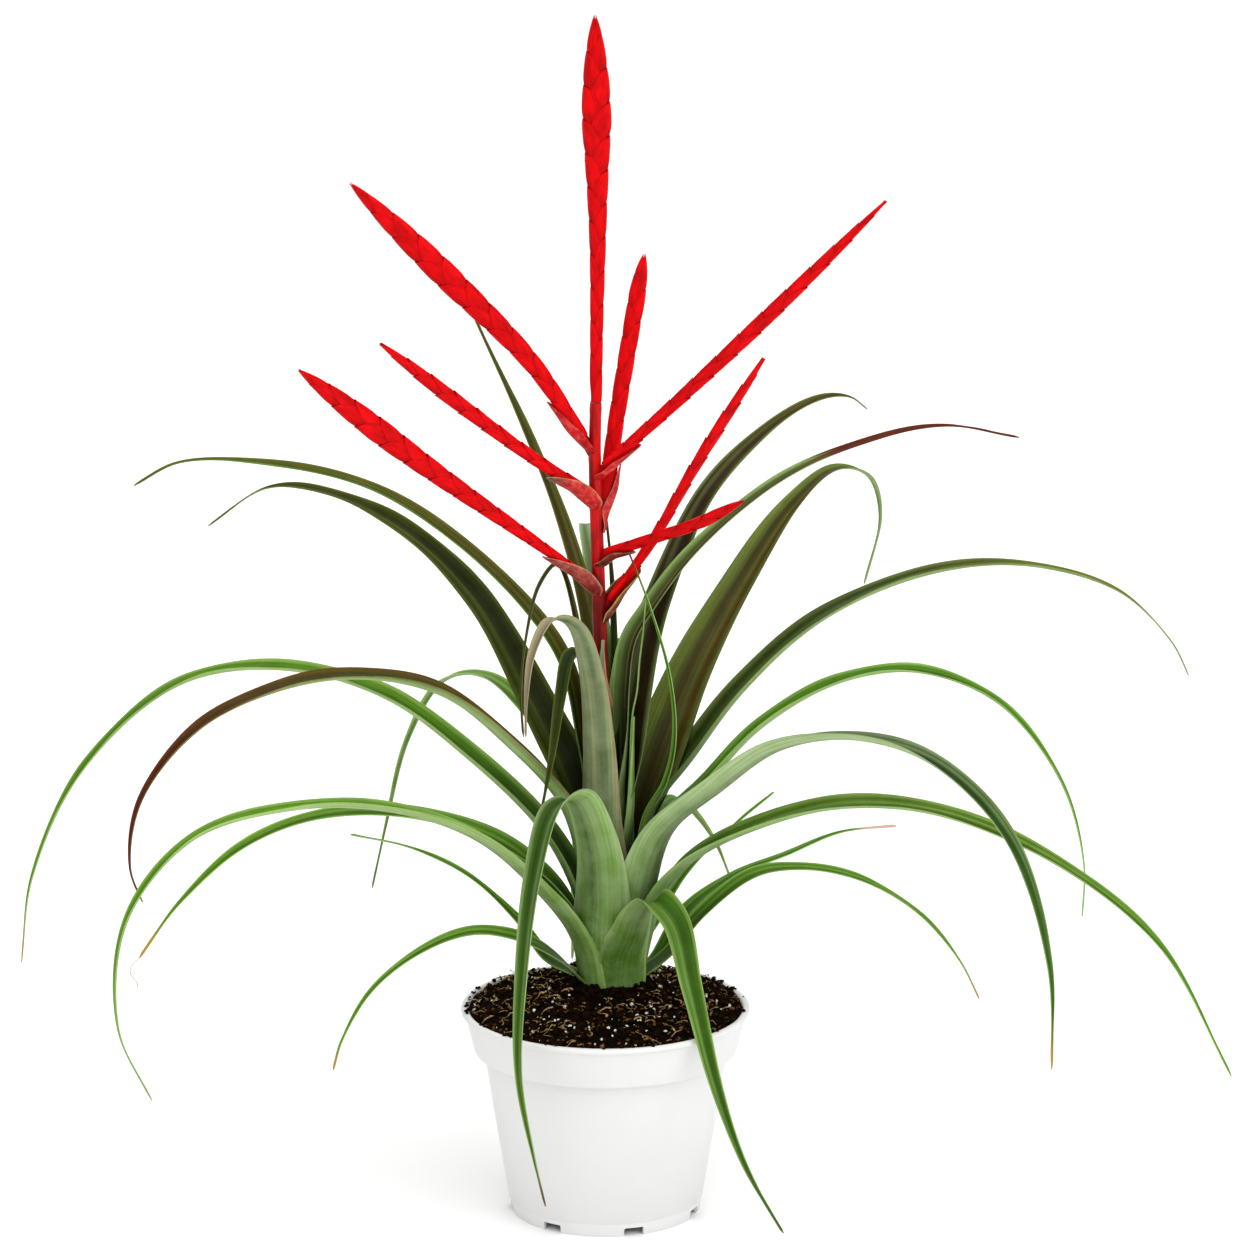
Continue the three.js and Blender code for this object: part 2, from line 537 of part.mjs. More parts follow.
function potGeometry() {
  const bandFoot = POT_HEIGHT - POT_BAND_HEIGHT;
  const floorTop = POT_FLOOR_UNDERSIDE + POT_WALL;
  const footInside = POT_FOOT_RADIUS - POT_WALL;
  const profile = [
    [0, POT_FLOOR_UNDERSIDE], [footInside - 0.4, POT_FLOOR_UNDERSIDE], [footInside, 0], [POT_FOOT_RADIUS, 0],
    [POT_FOOT_RADIUS + 0.4, POT_FOOT_HEIGHT - 1], [POT_BODY_FOOT_RADIUS, POT_FOOT_HEIGHT],
    [POT_BODY_TOP_RADIUS, bandFoot - 3], [POT_BAND_FOOT_RADIUS - 1.6, bandFoot - 1.6],
    [POT_BAND_FOOT_RADIUS, bandFoot], [POT_BAND_RADIUS, POT_HEIGHT - POT_LIP_HEIGHT],
    [POT_RIM_RADIUS - 0.3, POT_HEIGHT - POT_LIP_HEIGHT + 0.4], [POT_RIM_RADIUS, POT_HEIGHT - 1.6],
    [POT_RIM_RADIUS - 0.6, POT_HEIGHT - 0.3], [POT_RIM_RADIUS - 1.8, POT_HEIGHT],
    [potInside(POT_HEIGHT), POT_HEIGHT - 0.8], [potInside(bandFoot + 0.01), bandFoot + 0.6],
    [potInside(bandFoot - 3), bandFoot - 3], [potInside(floorTop), floorTop], [0, floorTop],
  ];
  const lathe = new THREE.LatheGeometry(profile.map(([r, z]) => new THREE.Vector2(r, z)), POT_SIDES);
  lathe.rotateX(Math.PI / 2);
  let pot = toSolid(lathe);
  for (let index = 0; index < NOTCH_COUNT; index += 1) {
    const turn = NOTCH_FIRST_TURN + index * 360 / NOTCH_COUNT;
    const angle = THREE.MathUtils.degToRad(turn);
    const shape = new THREE.Shape();
    shape.moveTo(-NOTCH_WIDTH / 2, -1);
    shape.lineTo(NOTCH_WIDTH / 2, -1);
    shape.lineTo(NOTCH_WIDTH / 2 - 2.4, NOTCH_HEIGHT);
    shape.lineTo(-NOTCH_WIDTH / 2 + 2.4, NOTCH_HEIGHT);
    shape.closePath();
    const notch = new THREE.ExtrudeGeometry(shape, { depth: 14, bevelEnabled: false });
    notch.rotateX(Math.PI / 2);
    notch.rotateZ(Math.PI / 2);
    notch.translate(POT_FOOT_RADIUS - 8, 0, 0);
    notch.rotateZ(angle);
    const drain = new THREE.BoxGeometry(DRAIN_DEPTH, DRAIN_WIDTH, 6);
    drain.translate(footInside - 1 - DRAIN_DEPTH / 2, 0, POT_FLOOR_UNDERSIDE + POT_WALL / 2);
    drain.rotateZ(angle);
    pot = pot.subtract(toSolid(notch)).subtract(toSolid(drain));
  }
  return fromSolid(pot);
}

// One closed skin: the plain hole for the stem, the lumpy top, the wall inside the pot and the foot.
function soilGeometry() {
  const random = seededRandom(41);
  const floorZ = POT_FLOOR_UNDERSIDE + POT_WALL + GAP;
  const holeFoot = STEM_FOOT_Z - GAP;
  const holeRadius = CROWN_RADIUS + GAP + 0.3;
  const rings = [
    { radius: 0, z: holeFoot, hole: true }, { radius: holeRadius, z: holeFoot, hole: true },
  ];
  for (let index = 0; index <= SOIL_RINGS; index += 1) {
    rings.push({ share: index / SOIL_RINGS });
  }
  const bandFoot = POT_HEIGHT - POT_BAND_HEIGHT;
  rings.push({ radius: potInside(bandFoot + 0.5) - GAP, z: bandFoot + 1.4 });
  rings.push({ radius: potInside(bandFoot - 3) - GAP, z: bandFoot - 2.2 });
  rings.push({ radius: potInside(floorZ) - GAP, z: floorZ });
  rings.push({ radius: 0, z: floorZ });
  const edge = potInside(SOIL_EDGE_Z - 2) - GAP - 0.3;
  const points = [];
  for (const ring of rings) {
    for (let index = 0; index < SOIL_SIDES; index += 1) {
      const angle = 2 * Math.PI * index / SOIL_SIDES;
      let { radius, z } = ring;
      let centreShare = ring.hole ? 1 : 0;
      if (ring.share !== undefined) {
        radius = THREE.MathUtils.lerp(holeRadius, edge, ring.share);
        centreShare = 1 - ring.share;
        const inner = ring.share < 0.01 || ring.share > 0.99 ? 0.25 : 1;
        const heap = SOIL_HEAP * (1 - Math.pow(ring.share, 2.2));
        z = SOIL_EDGE_Z - 1.6 + heap + SOIL_LUMP * inner * (random() - 0.5) * 2;
      }
      const x = PLANT_X * centreShare + radius * Math.cos(angle);
      const y = PLANT_Y * centreShare + radius * Math.sin(angle);
      points.push(x, y, z);
    }
  }
  const triangles = [];
  for (let ring = 0; ring < rings.length - 1; ring += 1) {
    for (let index = 0; index < SOIL_SIDES; index += 1) {
      const next = (index + 1) % SOIL_SIDES;
      const a = ring * SOIL_SIDES + index;
      const b = ring * SOIL_SIDES + next;
      const c = (ring + 1) * SOIL_SIDES + next;
      const d = (ring + 1) * SOIL_SIDES + index;
      triangles.push(a, c, b, a, d, c);
    }
  }
  const geometry = new THREE.BufferGeometry();
  geometry.setAttribute('position', new THREE.Float32BufferAttribute(points, 3));
  geometry.setIndex(triangles);
  return fromSolid(toSolid(geometry));
}

function largestPiece(solid) {
  return solid.decompose().reduce((best, piece) => (piece.volume() > best.volume() ? piece : best));
}

// The leaves as solids. Where two would meet, the one that loses less is cut back round the other.
function partedLeaves() {
  const solids = LEAVES.map((leaf) => toSolid(leafGeometry(leaf)));
  const clearances = LEAVES.map((leaf) => toSolid(leafGeometry({ ...leaf, margin: LEAF_CLEARANCE })));
  for (let inner = 1; inner < LEAVES.length; inner += 1) {
    for (let outer = 0; outer < inner; outer += 1) {
      if (solids[outer].intersect(clearances[inner]).isEmpty()) {
        continue;
      }
      const outerLeft = largestPiece(solids[outer].subtract(clearances[inner]));
      const innerLeft = largestPiece(solids[inner].subtract(clearances[outer]));
      const outerShare = outerLeft.volume() / solids[outer].volume();
      const innerShare = innerLeft.volume() / solids[inner].volume();
      if (outerShare > innerShare) {
        solids[outer] = outerLeft;
      } else {
        solids[inner] = innerLeft;
      }
    }
  }
  return solids;
}

const group = new THREE.Group();
addNamed(group, 'pot', potGeometry(), COLOURS.pot, 0.45);
addNamed(group, 'soil', soilGeometry(), COLOURS.soil, 0.95);
addNamed(group, 'stem', stemGeometry(), COLOURS.stem, 0.5);
partedLeaves().forEach((solid, index) => {
  addNamed(group, LEAVES[index].name, fromSolid(solid), COLOURS[LEAVES[index].tone], 0.5);
});
for (const spike of SPIKES) {
  addNamed(group, spike.name, sideSpike(spike), COLOURS.spike, 0.45);
  addNamed(group, spike.name.replace('spike', 'bract'), bractGeometry(spike), COLOURS.bract, 0.55);
}
addNamed(group, TOP_SPIKE.name, topSpike(TOP_SPIKE), COLOURS.spike, 0.45);

export default group;
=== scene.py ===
"""Potted bromeliad: white nursery pot, peat soil, arching leaves and flattened red flower spikes.

Laid out as an add-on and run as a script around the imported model. Sizes in the rows below are
millimetres in the frame's axes: +Z up, front towards -Y, origin at the centre of the pot's base.
A turn is an angle about +Z: 0 is right, 90 back, 180 left, 270 front. A share goes from 0 to 1.
"""
import math
from dataclasses import dataclass, replace

import bpy
import numpy as np
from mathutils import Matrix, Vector, noise


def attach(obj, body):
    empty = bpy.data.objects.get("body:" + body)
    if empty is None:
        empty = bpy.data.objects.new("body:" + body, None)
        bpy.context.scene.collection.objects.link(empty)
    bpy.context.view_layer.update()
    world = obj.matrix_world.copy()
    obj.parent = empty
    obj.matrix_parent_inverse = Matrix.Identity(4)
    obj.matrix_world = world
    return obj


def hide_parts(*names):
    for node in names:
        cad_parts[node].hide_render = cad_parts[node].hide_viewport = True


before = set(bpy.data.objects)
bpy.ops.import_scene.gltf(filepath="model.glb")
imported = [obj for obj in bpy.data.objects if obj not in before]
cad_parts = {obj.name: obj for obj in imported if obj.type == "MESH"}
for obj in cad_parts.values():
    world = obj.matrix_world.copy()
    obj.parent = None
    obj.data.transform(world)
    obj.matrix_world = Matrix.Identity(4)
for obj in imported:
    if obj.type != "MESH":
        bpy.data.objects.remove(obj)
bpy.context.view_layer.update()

bl_info = {
    "name": "Potted bromeliad",
    "version": (1, 0, 0),
    "blender": (4, 5, 0),
    "location": "3D View > Sidebar > Bromeliad",
    "description": "Builds a potted bromeliad with red flower spikes around its packed model",
    "category": "Add Mesh",
}

MM = 0.001
UP = (0.0, 0.0, 1.0)

# The plant's axis and its stem, as in the solids.
PLANT_X = 5
PLANT_Y = 12
SOIL_LINE = 118
STEM_FOOT_Z = 88
STEM_TOP_Z = 432
CROWN_RADIUS = 14.5
CROWN_TOP_Z = 205
SCAPE_RADIUS = 4.3
SCAPE_TOP_RADIUS = 3.0
STEM_LINE = ((5, 88), (5, 118), (2.5, 200), (-2, 290), (-4.2, 360), (-5.3, 402), (-4.8, 432))
BLADE_STAND_OFF = 1.35


@dataclass
class Leaf:
    """A blade: turn, start above the soil line, width, half angle of its channel and its twist.

    The path follows the stem and holds (out from the plant's axis, height, sideways). The foot is
    wider by the clasp, stands away where it lies over other feet, and curves round the stem over
    the sheathed length. The outer half twists further by the tip turn.
    """

    name: str
    turn: float
    start: float
    width: float
    fold: float
    twist: float
    tone: str
    path: tuple
    tip_turn: float = 0
    taper: float = 0.92
    clasp: float = 8
    away: float = 0
    sheathed: float = 55


@dataclass
class Spike:
    """A side spike: turn, width, roll of its flat face, where it is widest, its share at the root.

    The path holds (out from the stem's axis, height); bract is its length, width and drop.
    """

    name: str
    turn: float
    width: float
    roll: float
    widest: float
    root: float
    path: tuple
    bract: tuple


LEAVES = (
    Leaf("leaf_front_right_hanging", 282, 2, 25, 47, 20, "fresh", taper=1.15, away=1.5, sheathed=42,
        path=((20.8, 137.6, -0.1), (25.4, 150.6, 3.3), (31.4, 166.6, 7.7), (39.6, 175, 13.1),
              (52.8, 167, 21.4), (70.3, 136, 26.2), (91.1, 92, 33.6), (115.2, 55, 43.3),
              (147.6, 28, 56.4))),
    Leaf("leaf_left_lowest", 196, 1, 12, 40, -25, "fresh", taper=0.91, clasp=4,
        path=((32, 136), (54, 149), (78, 154), (105, 146), (132, 127), (148, 101), (153, 85))),
    Leaf("leaf_back_left_low", 150, 1, 7, 49, -20, "fresh", clasp=3,
        path=((27, 122), (42, 127), (61, 146), (90, 165), (125, 175), (165, 177))),
    Leaf("leaf_right_low", 22, 5, 12, 50, 30, "fresh", tip_turn=20, clasp=1,
        path=((31, 133), (50, 152), (78, 170), (106, 171), (141, 161), (177, 137), (201, 108),
              (213, 85))),
    Leaf("leaf_back_right_low", 45, 1, 8, 35, 30, "green", taper=0.95, clasp=4,
        path=((32, 126), (52, 147), (90, 160), (131, 163), (171, 167), (219, 161))),
    Leaf("leaf_back_low", 100, 3, 22, 40, 0, "green", clasp=6,
        path=((22, 150), (48, 184), (80, 192), (112, 165), (130, 125), (138, 90))),
    Leaf("leaf_right_low_long", 338, 9, 27, 53, 12, "green", taper=0.93,
        path=((20.6, 150), (27.5, 170), (43, 190), (76, 211), (125, 229), (180, 231), (244, 211),
              (298, 174), (337, 110))),
    Leaf("leaf_left_low_arch", 204, 3, 29, 56, 2, "fresh", taper=1.04, clasp=6, away=2.9,
        path=((23.5, 145), (44, 174), (79, 207), (127, 228), (181, 235), (235, 225), (270, 187),
              (276, 131), (259, 90))),
    Leaf("leaf_left_low_inner", 188, 12, 20, 49, -24, "fresh", tip_turn=-20, taper=0.91,
        path=((18.8, 145), (27, 165), (58, 197), (105, 215), (155, 217), (196, 202), (228, 174),
              (250, 144))),
    Leaf("leaf_front_left_hanging", 243, 6, 28, 46, 20, "pale", taper=0.94, clasp=11, sheathed=80,
        path=((23.4, 150, 2), (26, 176, 4.5), (31.5, 205, 4.5), (46, 231, 2), (68, 231), (89, 200),
              (102.5, 152), (107, 100), (110, 57, 10), (106, 31, 14))),
    Leaf("leaf_right_broad", 321, 13, 38, 51, -8, "pale", tip_turn=26, taper=1.05, clasp=11,
        path=((18.3, 150), (22, 176), (34, 206), (67, 235), (108, 265), (159, 279), (210, 273),
              (254, 241), (277, 184), (280, 130))),
    Leaf("leaf_left_long", 172, 17, 29, 51, -4, "fresh", tip_turn=-25,
        path=((17.5, 150), (23, 172), (40, 203), (78, 240), (122, 271), (176, 284), (231, 274),
              (285, 225), (314, 164), (321, 117))),
    Leaf("leaf_back_right_hanging", 62, 12, 16, 52, 3, "fresh", taper=0.89,
        path=((19, 160), (40, 195), (66, 204), (92, 188), (118, 164), (135, 140))),
    Leaf("leaf_right_middle", 350, 19, 29, 51, 8, "green", taper=1.1,
        path=((16.3, 155), (18, 176), (25, 203), (48, 229), (78, 263), (119, 289), (160, 296),
              (201, 281), (233, 242), (246, 199), (246, 169))),
    Leaf("leaf_left_red", 199, 21, 34, 58, -4, "red", tip_turn=-10,
        path=((16.3, 155), (18.8, 180), (30, 219), (60, 255), (94, 284), (137, 297), (179, 295),
              (222, 279), (254, 244), (261, 208), (255, 189))),
    Leaf("leaf_back_left_pale", 132, 21, 18, 49, -6, "pale", taper=0.91,
        path=((15.8, 155), (17.8, 180), (32, 220), (63, 249), (101, 266), (138, 257), (169, 218),
              (188, 167), (201, 127))),
    Leaf("leaf_back_arch", 94, 26, 22, 40, 0, "green", clasp=6,
        path=((13.2, 160), (14.8, 180), (24, 215), (50, 252), (84, 258), (114, 232), (130, 190),
              (138, 155))),
    Leaf("leaf_right_long", 8, 27, 39, 49, 3, "deep", taper=1.1,
        path=((14.3, 165), (15.5, 190), (22, 216), (40, 240), (68, 277), (109, 313), (162, 335),
              (214, 339), (267, 323), (296, 295), (306, 276))),
    Leaf("leaf_left_high_broad", 152, 33, 33, 49, -59, "deep", tip_turn=35, taper=1.08,
        path=((12.3, 170), (14.5, 197), (24, 227), (47, 269), (82, 320), (124, 351), (171, 366),
              (210, 365), (248, 340))),
    Leaf("leaf_back_right_broad", 40, 39, 44, 49, 45, "olive",
        tip_turn=-45, taper=1.2, clasp=3, sheathed=90,
        path=((11.2, 170), (12.2, 192), (16.5, 212), (26, 234), (52, 282), (86, 325), (122, 360),
              (153, 375), (178, 367), (186, 344), (175, 309))),
    Leaf("leaf_front_pale", 236, 28, 32, 49, 13, "pale", taper=0.89, clasp=7,
        path=((14.2, 165, 1), (15.6, 200, 0), (17, 250, 0), (25, 292, 1), (38, 320, 1),
              (56, 327.5, -1), (74, 314), (80, 292), (81, 272))),
    Leaf("leaf_back_high", 88, 47, 20, 35, 0, "green", clasp=6,
        path=((10.8, 185), (12.2, 210), (19, 245), (44, 281), (74, 288), (102, 264), (120, 226),
              (127, 200))),
    Leaf("leaf_left_high_thin", 164, 46, 19, 49, -20, "olive", tip_turn=-25, taper=0.93,
        path=((11.6, 185), (13.5, 212), (19, 250), (28, 291), (47, 319), (83, 351), (129, 378),
              (192, 389), (239, 386), (265, 372))),
    Leaf("leaf_right_high_dark", 42, 58, 26, 48, 42, "deep", taper=0.88, clasp=9, sheathed=110,
        path=((7.2, 195), (8, 225), (10, 262), (17.5, 292), (30, 322), (62, 372), (106, 402),
              (146, 414), (168, 412), (182, 403))),
    Leaf("leaf_back_blunt", 108, 68, 18, 30, 0, "pale", clasp=6, sheathed=90,
        path=((9.1, 205), (12.3, 240), (22, 295), (44, 338, -1), (66, 352, -5), (92, 340, -17),
              (112, 305, -28), (124, 265, -33))),
    Leaf("leaf_front_left_dark", 210, 49, 22, 44, -16, "deep",
        tip_turn=-25, taper=0.85, clasp=4, sheathed=90,
        path=((10.4, 200), (12, 240), (15, 280), (20, 299), (26, 301), (32.7, 280, 1),
              (40.7, 249, 5), (48.2, 221, 7))),
    Leaf("leaf_right_dry_tip", 342, 33, 8, 51, 55, "green", clasp=2,
        path=((12.8, 170), (14, 190), (18, 212), (28, 232), (33, 256), (30, 290), (19, 326),
              (7, 355))),
    Leaf("leaf_right_high_thin", 28, 72, 17, 52, 20, "olive",
        tip_turn=20, taper=1, clasp=12, sheathed=90,
        path=((5.2, 220), (5.2, 255), (5.6, 282), (9.5, 305), (19, 319), (45, 347), (91, 378),
              (146, 396), (199, 400), (245, 389))),
    Leaf("leaf_back_left_straight", 124, 76, 17, 51, -5, "olive",
        tip_turn=5, taper=0.75, sheathed=110,
        path=((7.5, 220), (11.3, 260), (26.5, 316), (50, 360), (81, 399), (135, 456))),
    Leaf("leaf_back_left_curl", 176, 61, 8, 50, -50, "olive", clasp=2,
        path=((9.4, 205, -4.8), (13, 245, -3.8), (18.5, 305, -2), (30, 346), (39, 335), (46, 308),
              (49, 278), (48, 253))),
    Leaf("leaf_centre_upright", 60, 84, 9, 30, 0, "deep", taper=0.7, clasp=1,
        path=((5.3, 230, 2.7), (6.1, 290, 3.5), (7.3, 330, 5.4), (7.8, 350, 7.4), (8.2, 368, 9.8))),
    Leaf("leaf_back_right_thin", 52, 6, 6, 49, 12, "green", taper=0.93, clasp=2,
        path=((24, 138), (33, 144), (60, 165), (109, 184), (140, 193))),
    Leaf("leaf_centre_strip", 335, 70, 4, 30, 0, "deep", clasp=0,
        path=((8.5, 230), (10.2, 267), (12.8, 280), (14.2, 296), (16.3, 313), (17.7, 329))),
    Leaf("leaf_centre_young", 320, 66, 9, 34, 0, "deep", clasp=2,
        path=((11, 215), (12, 240), (13, 267))),
    Leaf("leaf_stalk_young", 285, 152, 11, 50, 0, "pale", clasp=0, sheathed=30,
        path=((3.2, 284, -8), (4.2, 295, -8), (6.5, 308, -8))),
)

SIDE_SPIKES = (
    Spike("spike_left_top", 188, 13.4, 0, 0.6, 0.5,
          path=((6.4, 414), (33, 454), (77.8, 501.3), (125, 549)),
          bract=(27, 19, 8)),
    Spike("spike_left_middle", 215, 8.4, 15, 0.62, 0.7,
          path=((5.4, 386), (35, 405), (83.5, 441), (130.5, 477.5)),
          bract=(27, 22, 9)),
    Spike("spike_left_low", 205, 12.9, 10, 0.7, 0.3,
          path=((5.4, 339), (44, 368), (97, 408), (165, 463)),
          bract=(30, 22, 8)),
    Spike("spike_right_short", 46, 8.8, -46, 0.8, 0.9,
          path=((7.3, 380), (14.2, 415.5), (26.3, 466), (36.2, 505)),
          bract=(20, 14, 16)),
    Spike("spike_right_long", 342, 8, 25, 0.5, 0.7,
          path=((5.6, 399), (46, 437), (99, 489), (154, 545)),
          bract=(22, 17, 7)),
    Spike("spike_right_thin", 14, 7, 25, 0.65, 0.75,
          path=((5.9, 327), (27, 355), (53.5, 399), (88, 451)),
          bract=(22, 23, 11)),
    Spike("spike_right_low", 325, 6.2, 10, 0.7, 0.85,
          path=((5, 353), (39, 366.5), (64, 377), (91, 392)),
          bract=(18, 16, 7)),
)

# The top spike: its line of (x, height), and its width, where it is widest, its share at the root
# and how late it widens.
TOP_SPIKE_LINE = ((-4.8, 432.4), (-4.2, 476), (-3.7, 514), (-4.1, 572), (-4.9, 632))
TOP_SPIKE_OUTLINE = (15, 0.72, 0.42, 2.6)

# Each side spike's bract: its colours at the foot, the middle and the tip, and its margin.
BRACT_TONES = {
    "spike_left_top": ("#b40a0c", "#c81216", "#b81416", "#c83028"),
    "spike_left_middle": ("#bc1216", "#c42c2c", "#705040", "#b89060"),
    "spike_left_low": ("#80140f", "#a0443a", "#943a30", "#c09070"),
    "spike_right_short": ("#b01414", "#bc2c2c", "#ac2626", "#cc7060"),
    "spike_right_long": ("#c01014", "#cc2828", "#c4181a", "#cc5040"),
    "spike_right_thin": ("#642016", "#843a24", "#84502a", "#d0b868"),
    "spike_right_low": ("#54180f", "#74281a", "#643022", "#986848"),
}


@dataclass
class Tone:
    """Colours of a blade at its foot, middle and end, on its face and on its underside.

    Margin is its rim's colour, which also paints the highlight streak, and band how dark the stripe
    along its middle is. Half is a colour for the side of the blade that the sign of half_side names,
    half_on_face its strength on the face. Past the share dry the tip has dried.
    """

    face: tuple
    under: tuple
    margin: str
    band: float = 0.45
    half: str = ""
    half_side: int = 1
    half_on_face: float = 1
    dry: float = 1.2
    dry_colour: str = "#b8883e"


# The feet are darker than the bodies partly as painted shade where the leaves crowd in the crown;
# the faces of the deep and olive tones go near black there.
TONES = {
    "fresh": Tone(("#33500f", "#4f7d0c", "#5c8c18"), ("#56782e", "#8aab5c", "#90b262"), "#a0c46c"),
    "green": Tone(("#3a6210", "#45720c", "#4f7d10"), ("#587a38", "#8aac60", "#90b064"), "#98c068"),
    "pale": Tone(("#3c5c1c", "#507a2a", "#6c9440"), ("#5c8038", "#92b26c", "#8cac64"), "#a4bc84"),
    "deep": Tone(("#040701", "#1c2c02", "#383e04"), ("#506c30", "#86a860", "#7c9c4c"), "#5c7430"),
    "olive": Tone(("#0a0802", "#3c3002", "#464206"), ("#4c6428", "#7c9458", "#84a05c"), "#6c8444"),
    "red": Tone(("#2c3808", "#444408", "#5c1c06"), ("#6a8c44", "#8cac64", "#6c5a20"), "#6c4018"),
}
LEAF_SLOTS = {"fresh": "leaf_fresh", "green": "leaf_fresh", "pale": "leaf_pale",
              "deep": "leaf_dark", "olive": "leaf_olive", "red": "leaf_red"}

# What sets single leaves apart from the tone they share. Their darker and near-black feet are partly
# painted shade of the crown, as in the tones.
OWN_TONES = {
    "leaf_left_long": {"dry": 0.975},
    "leaf_left_low_inner": {"dry": 0.955, "dry_colour": "#b8903c"},
    "leaf_left_lowest": {"dry": 0.96},
    "leaf_right_low": {"dry": 0.965},
    "leaf_back_right_low": {"dry": 0.87, "dry_colour": "#d0a898"},
    "leaf_right_dry_tip": {"dry": 0.93, "dry_colour": "#8c4024"},
    "leaf_right_high_thin": {"half": "#7c9c50", "half_side": 1, "dry": 0.68,
                             "dry_colour": "#541c04", "margin": "#8ca468"},
    "leaf_left_high_thin": {"face": ("#1c1c04", "#4a4204", "#5a5c10"), "half": "#547820"},
    "leaf_left_high_broad": {"face": ("#040701", "#2a3202", "#484a06"), "margin": "#6c7c34"},
    "leaf_left_low_arch": {"under": ("#5c7c30", "#94b06c", "#7c9c50")},
    "leaf_back_left_pale": {"face": ("#3c5c1c", "#628e28", "#4c7c10"),
                            "under": ("#5c8038", "#84aa50", "#5c8c1c")},
    "leaf_right_broad": {"face": ("#33500f", "#1e3404", "#3a6410"), "half": "#4c6c24",
                         "half_on_face": 0.1, "under": ("#6c8c44", "#a4bc84", "#8cac60"),
                         "dry": 0.975},
    "leaf_right_long": {"face": ("#0a1402", "#243602", "#666a1c"), "margin": "#7c8c48"},
    "leaf_right_low_long": {"face": ("#34580f", "#486408", "#4f7d10")},
    "leaf_right_high_dark": {"face": ("#080602", "#2c2004", "#4a440e"), "margin": "#80985c"},
    "leaf_back_right_broad": {"half": "#66742e", "face": ("#0a0802", "#443404", "#464206")},
    "leaf_front_left_hanging": {"face": ("#3c5c18", "#3a5c10", "#527c18"),
                                "under": ("#587a30", "#80a058", "#749048"), "dry": 0.97,
                                "dry_colour": "#6c4018"},
    "leaf_front_right_hanging": {"face": ("#4c7818", "#406a10", "#3c6212"),
                                 "under": ("#4c7020", "#78984c", "#88a85c"), "margin": "#a4c06c"},
    "leaf_front_pale": {"face": ("#4c6424", "#808860", "#90866a"),
                        "under": ("#486428", "#7e8e5e", "#a4b488"), "margin": "#a08468"},
    "leaf_back_blunt": {"face": ("#1c2c06", "#6c8850", "#b8c4a4"),
                        "under": ("#2c4410", "#74905c", "#b8c4a4")},
    "leaf_stalk_young": {"face": ("#7c3428", "#986450", "#8ca07c"),
                         "under": ("#7c3428", "#986450", "#8ca07c"), "margin": "#a89070"},
    "leaf_back_left_curl": {"under": ("#4c5c24", "#584c14", "#6c6420")},
    "leaf_back_right_hanging": {"under": ("#587a38", "#7c9c38", "#84a448")},
    "leaf_back_left_straight": {"face": ("#0a0802", "#4a4206", "#484806")},
}


def linear(code):
    """An sRGB hex colour as linear red, green, blue and alpha."""
    parts = [int(code[i:i + 2], 16) / 255 for i in (1, 3, 5)]
    return [c / 12.92 if c <= 0.04045 else ((c + 0.055) / 1.055) ** 2.4 for c in parts] + [1.0]


def colours_of(codes):
    """Several hex colours as rows to be mixed."""
    return [np.array(linear(code)) for code in codes]


def smooth(low, high, value):
    """Rises from 0 to 1 between low and high."""
    t = np.clip((np.asarray(value, float) - low) / (high - low), 0, 1)
    return t * t * (3 - 2 * t)


def mix(a, b, share):
    """Goes from a to b."""
    return a + (b - a) * share


def unit(vectors):
    """Each row made one long."""
    return vectors / np.maximum(np.linalg.norm(vectors, axis=-1, keepdims=True), 1e-9)


def square_to(along, way):
    """A direction made square to each row of along."""
    return unit(way - (along @ way)[:, None] * along)


def seeded(name, more=0):
    """Random numbers that depend on a name alone."""
    return np.random.default_rng(sum(ord(letter) for letter in name) + more)


class Path:
    """A smooth curve through knots, read by share of its length."""

    def __init__(self, knots, steps=60):
        knots = np.asarray(knots, float)
        ends = np.vstack([2 * knots[0] - knots[1], knots, 2 * knots[-1] - knots[-2]])
        rows = []
        for p0, p1, p2, p3 in zip(ends, ends[1:], ends[2:], ends[3:]):
            d0, d1, d2 = (max(float(np.sum((b - a) ** 2)) ** 0.25, 1e-4)
                          for a, b in ((p0, p1), (p1, p2), (p2, p3)))
            m1 = ((p1 - p0) / d0 - (p2 - p0) / (d0 + d1) + (p2 - p1) / d1) * d1
            m2 = ((p2 - p1) / d1 - (p3 - p1) / (d1 + d2) + (p3 - p2) / d2) * d1
            t = np.linspace(0, 1, steps, endpoint=False)[:, None]
            rows.append(p1 + m1 * t + (3 * (p2 - p1) - 2 * m1 - m2) * t ** 2
                        + (2 * (p1 - p2) + m1 + m2) * t ** 3)
        self.points = np.vstack(rows + [knots[-1:]])
        steps_along = np.linalg.norm(np.diff(self.points, axis=0), axis=1)
        self.lengths = np.concatenate([[0], np.cumsum(steps_along)])
        self.length = float(self.lengths[-1])

    def at(self, share):
        """Points at shares of the length."""
        wanted = np.atleast_1d(share) * self.length
        return np.stack([np.interp(wanted, self.lengths, self.points[:, k]) for k in range(3)], -1)

    def tangent(self, share, step=0.004):
        """Directions at shares of the length."""
        share = np.atleast_1d(share)
        return unit(self.at(np.clip(share + step, 0, 1)) - self.at(np.clip(share - step, 0, 1)))


STEM_PATH = Path([(x, PLANT_Y, z) for x, z in STEM_LINE])


def stem_centre(height):
    """The stem's centre at heights."""
    height = np.asarray(height, float)
    x = np.interp(height, STEM_PATH.points[:, 2], STEM_PATH.points[:, 0])
    return np.stack([x, np.full_like(x, PLANT_Y), height], -1)


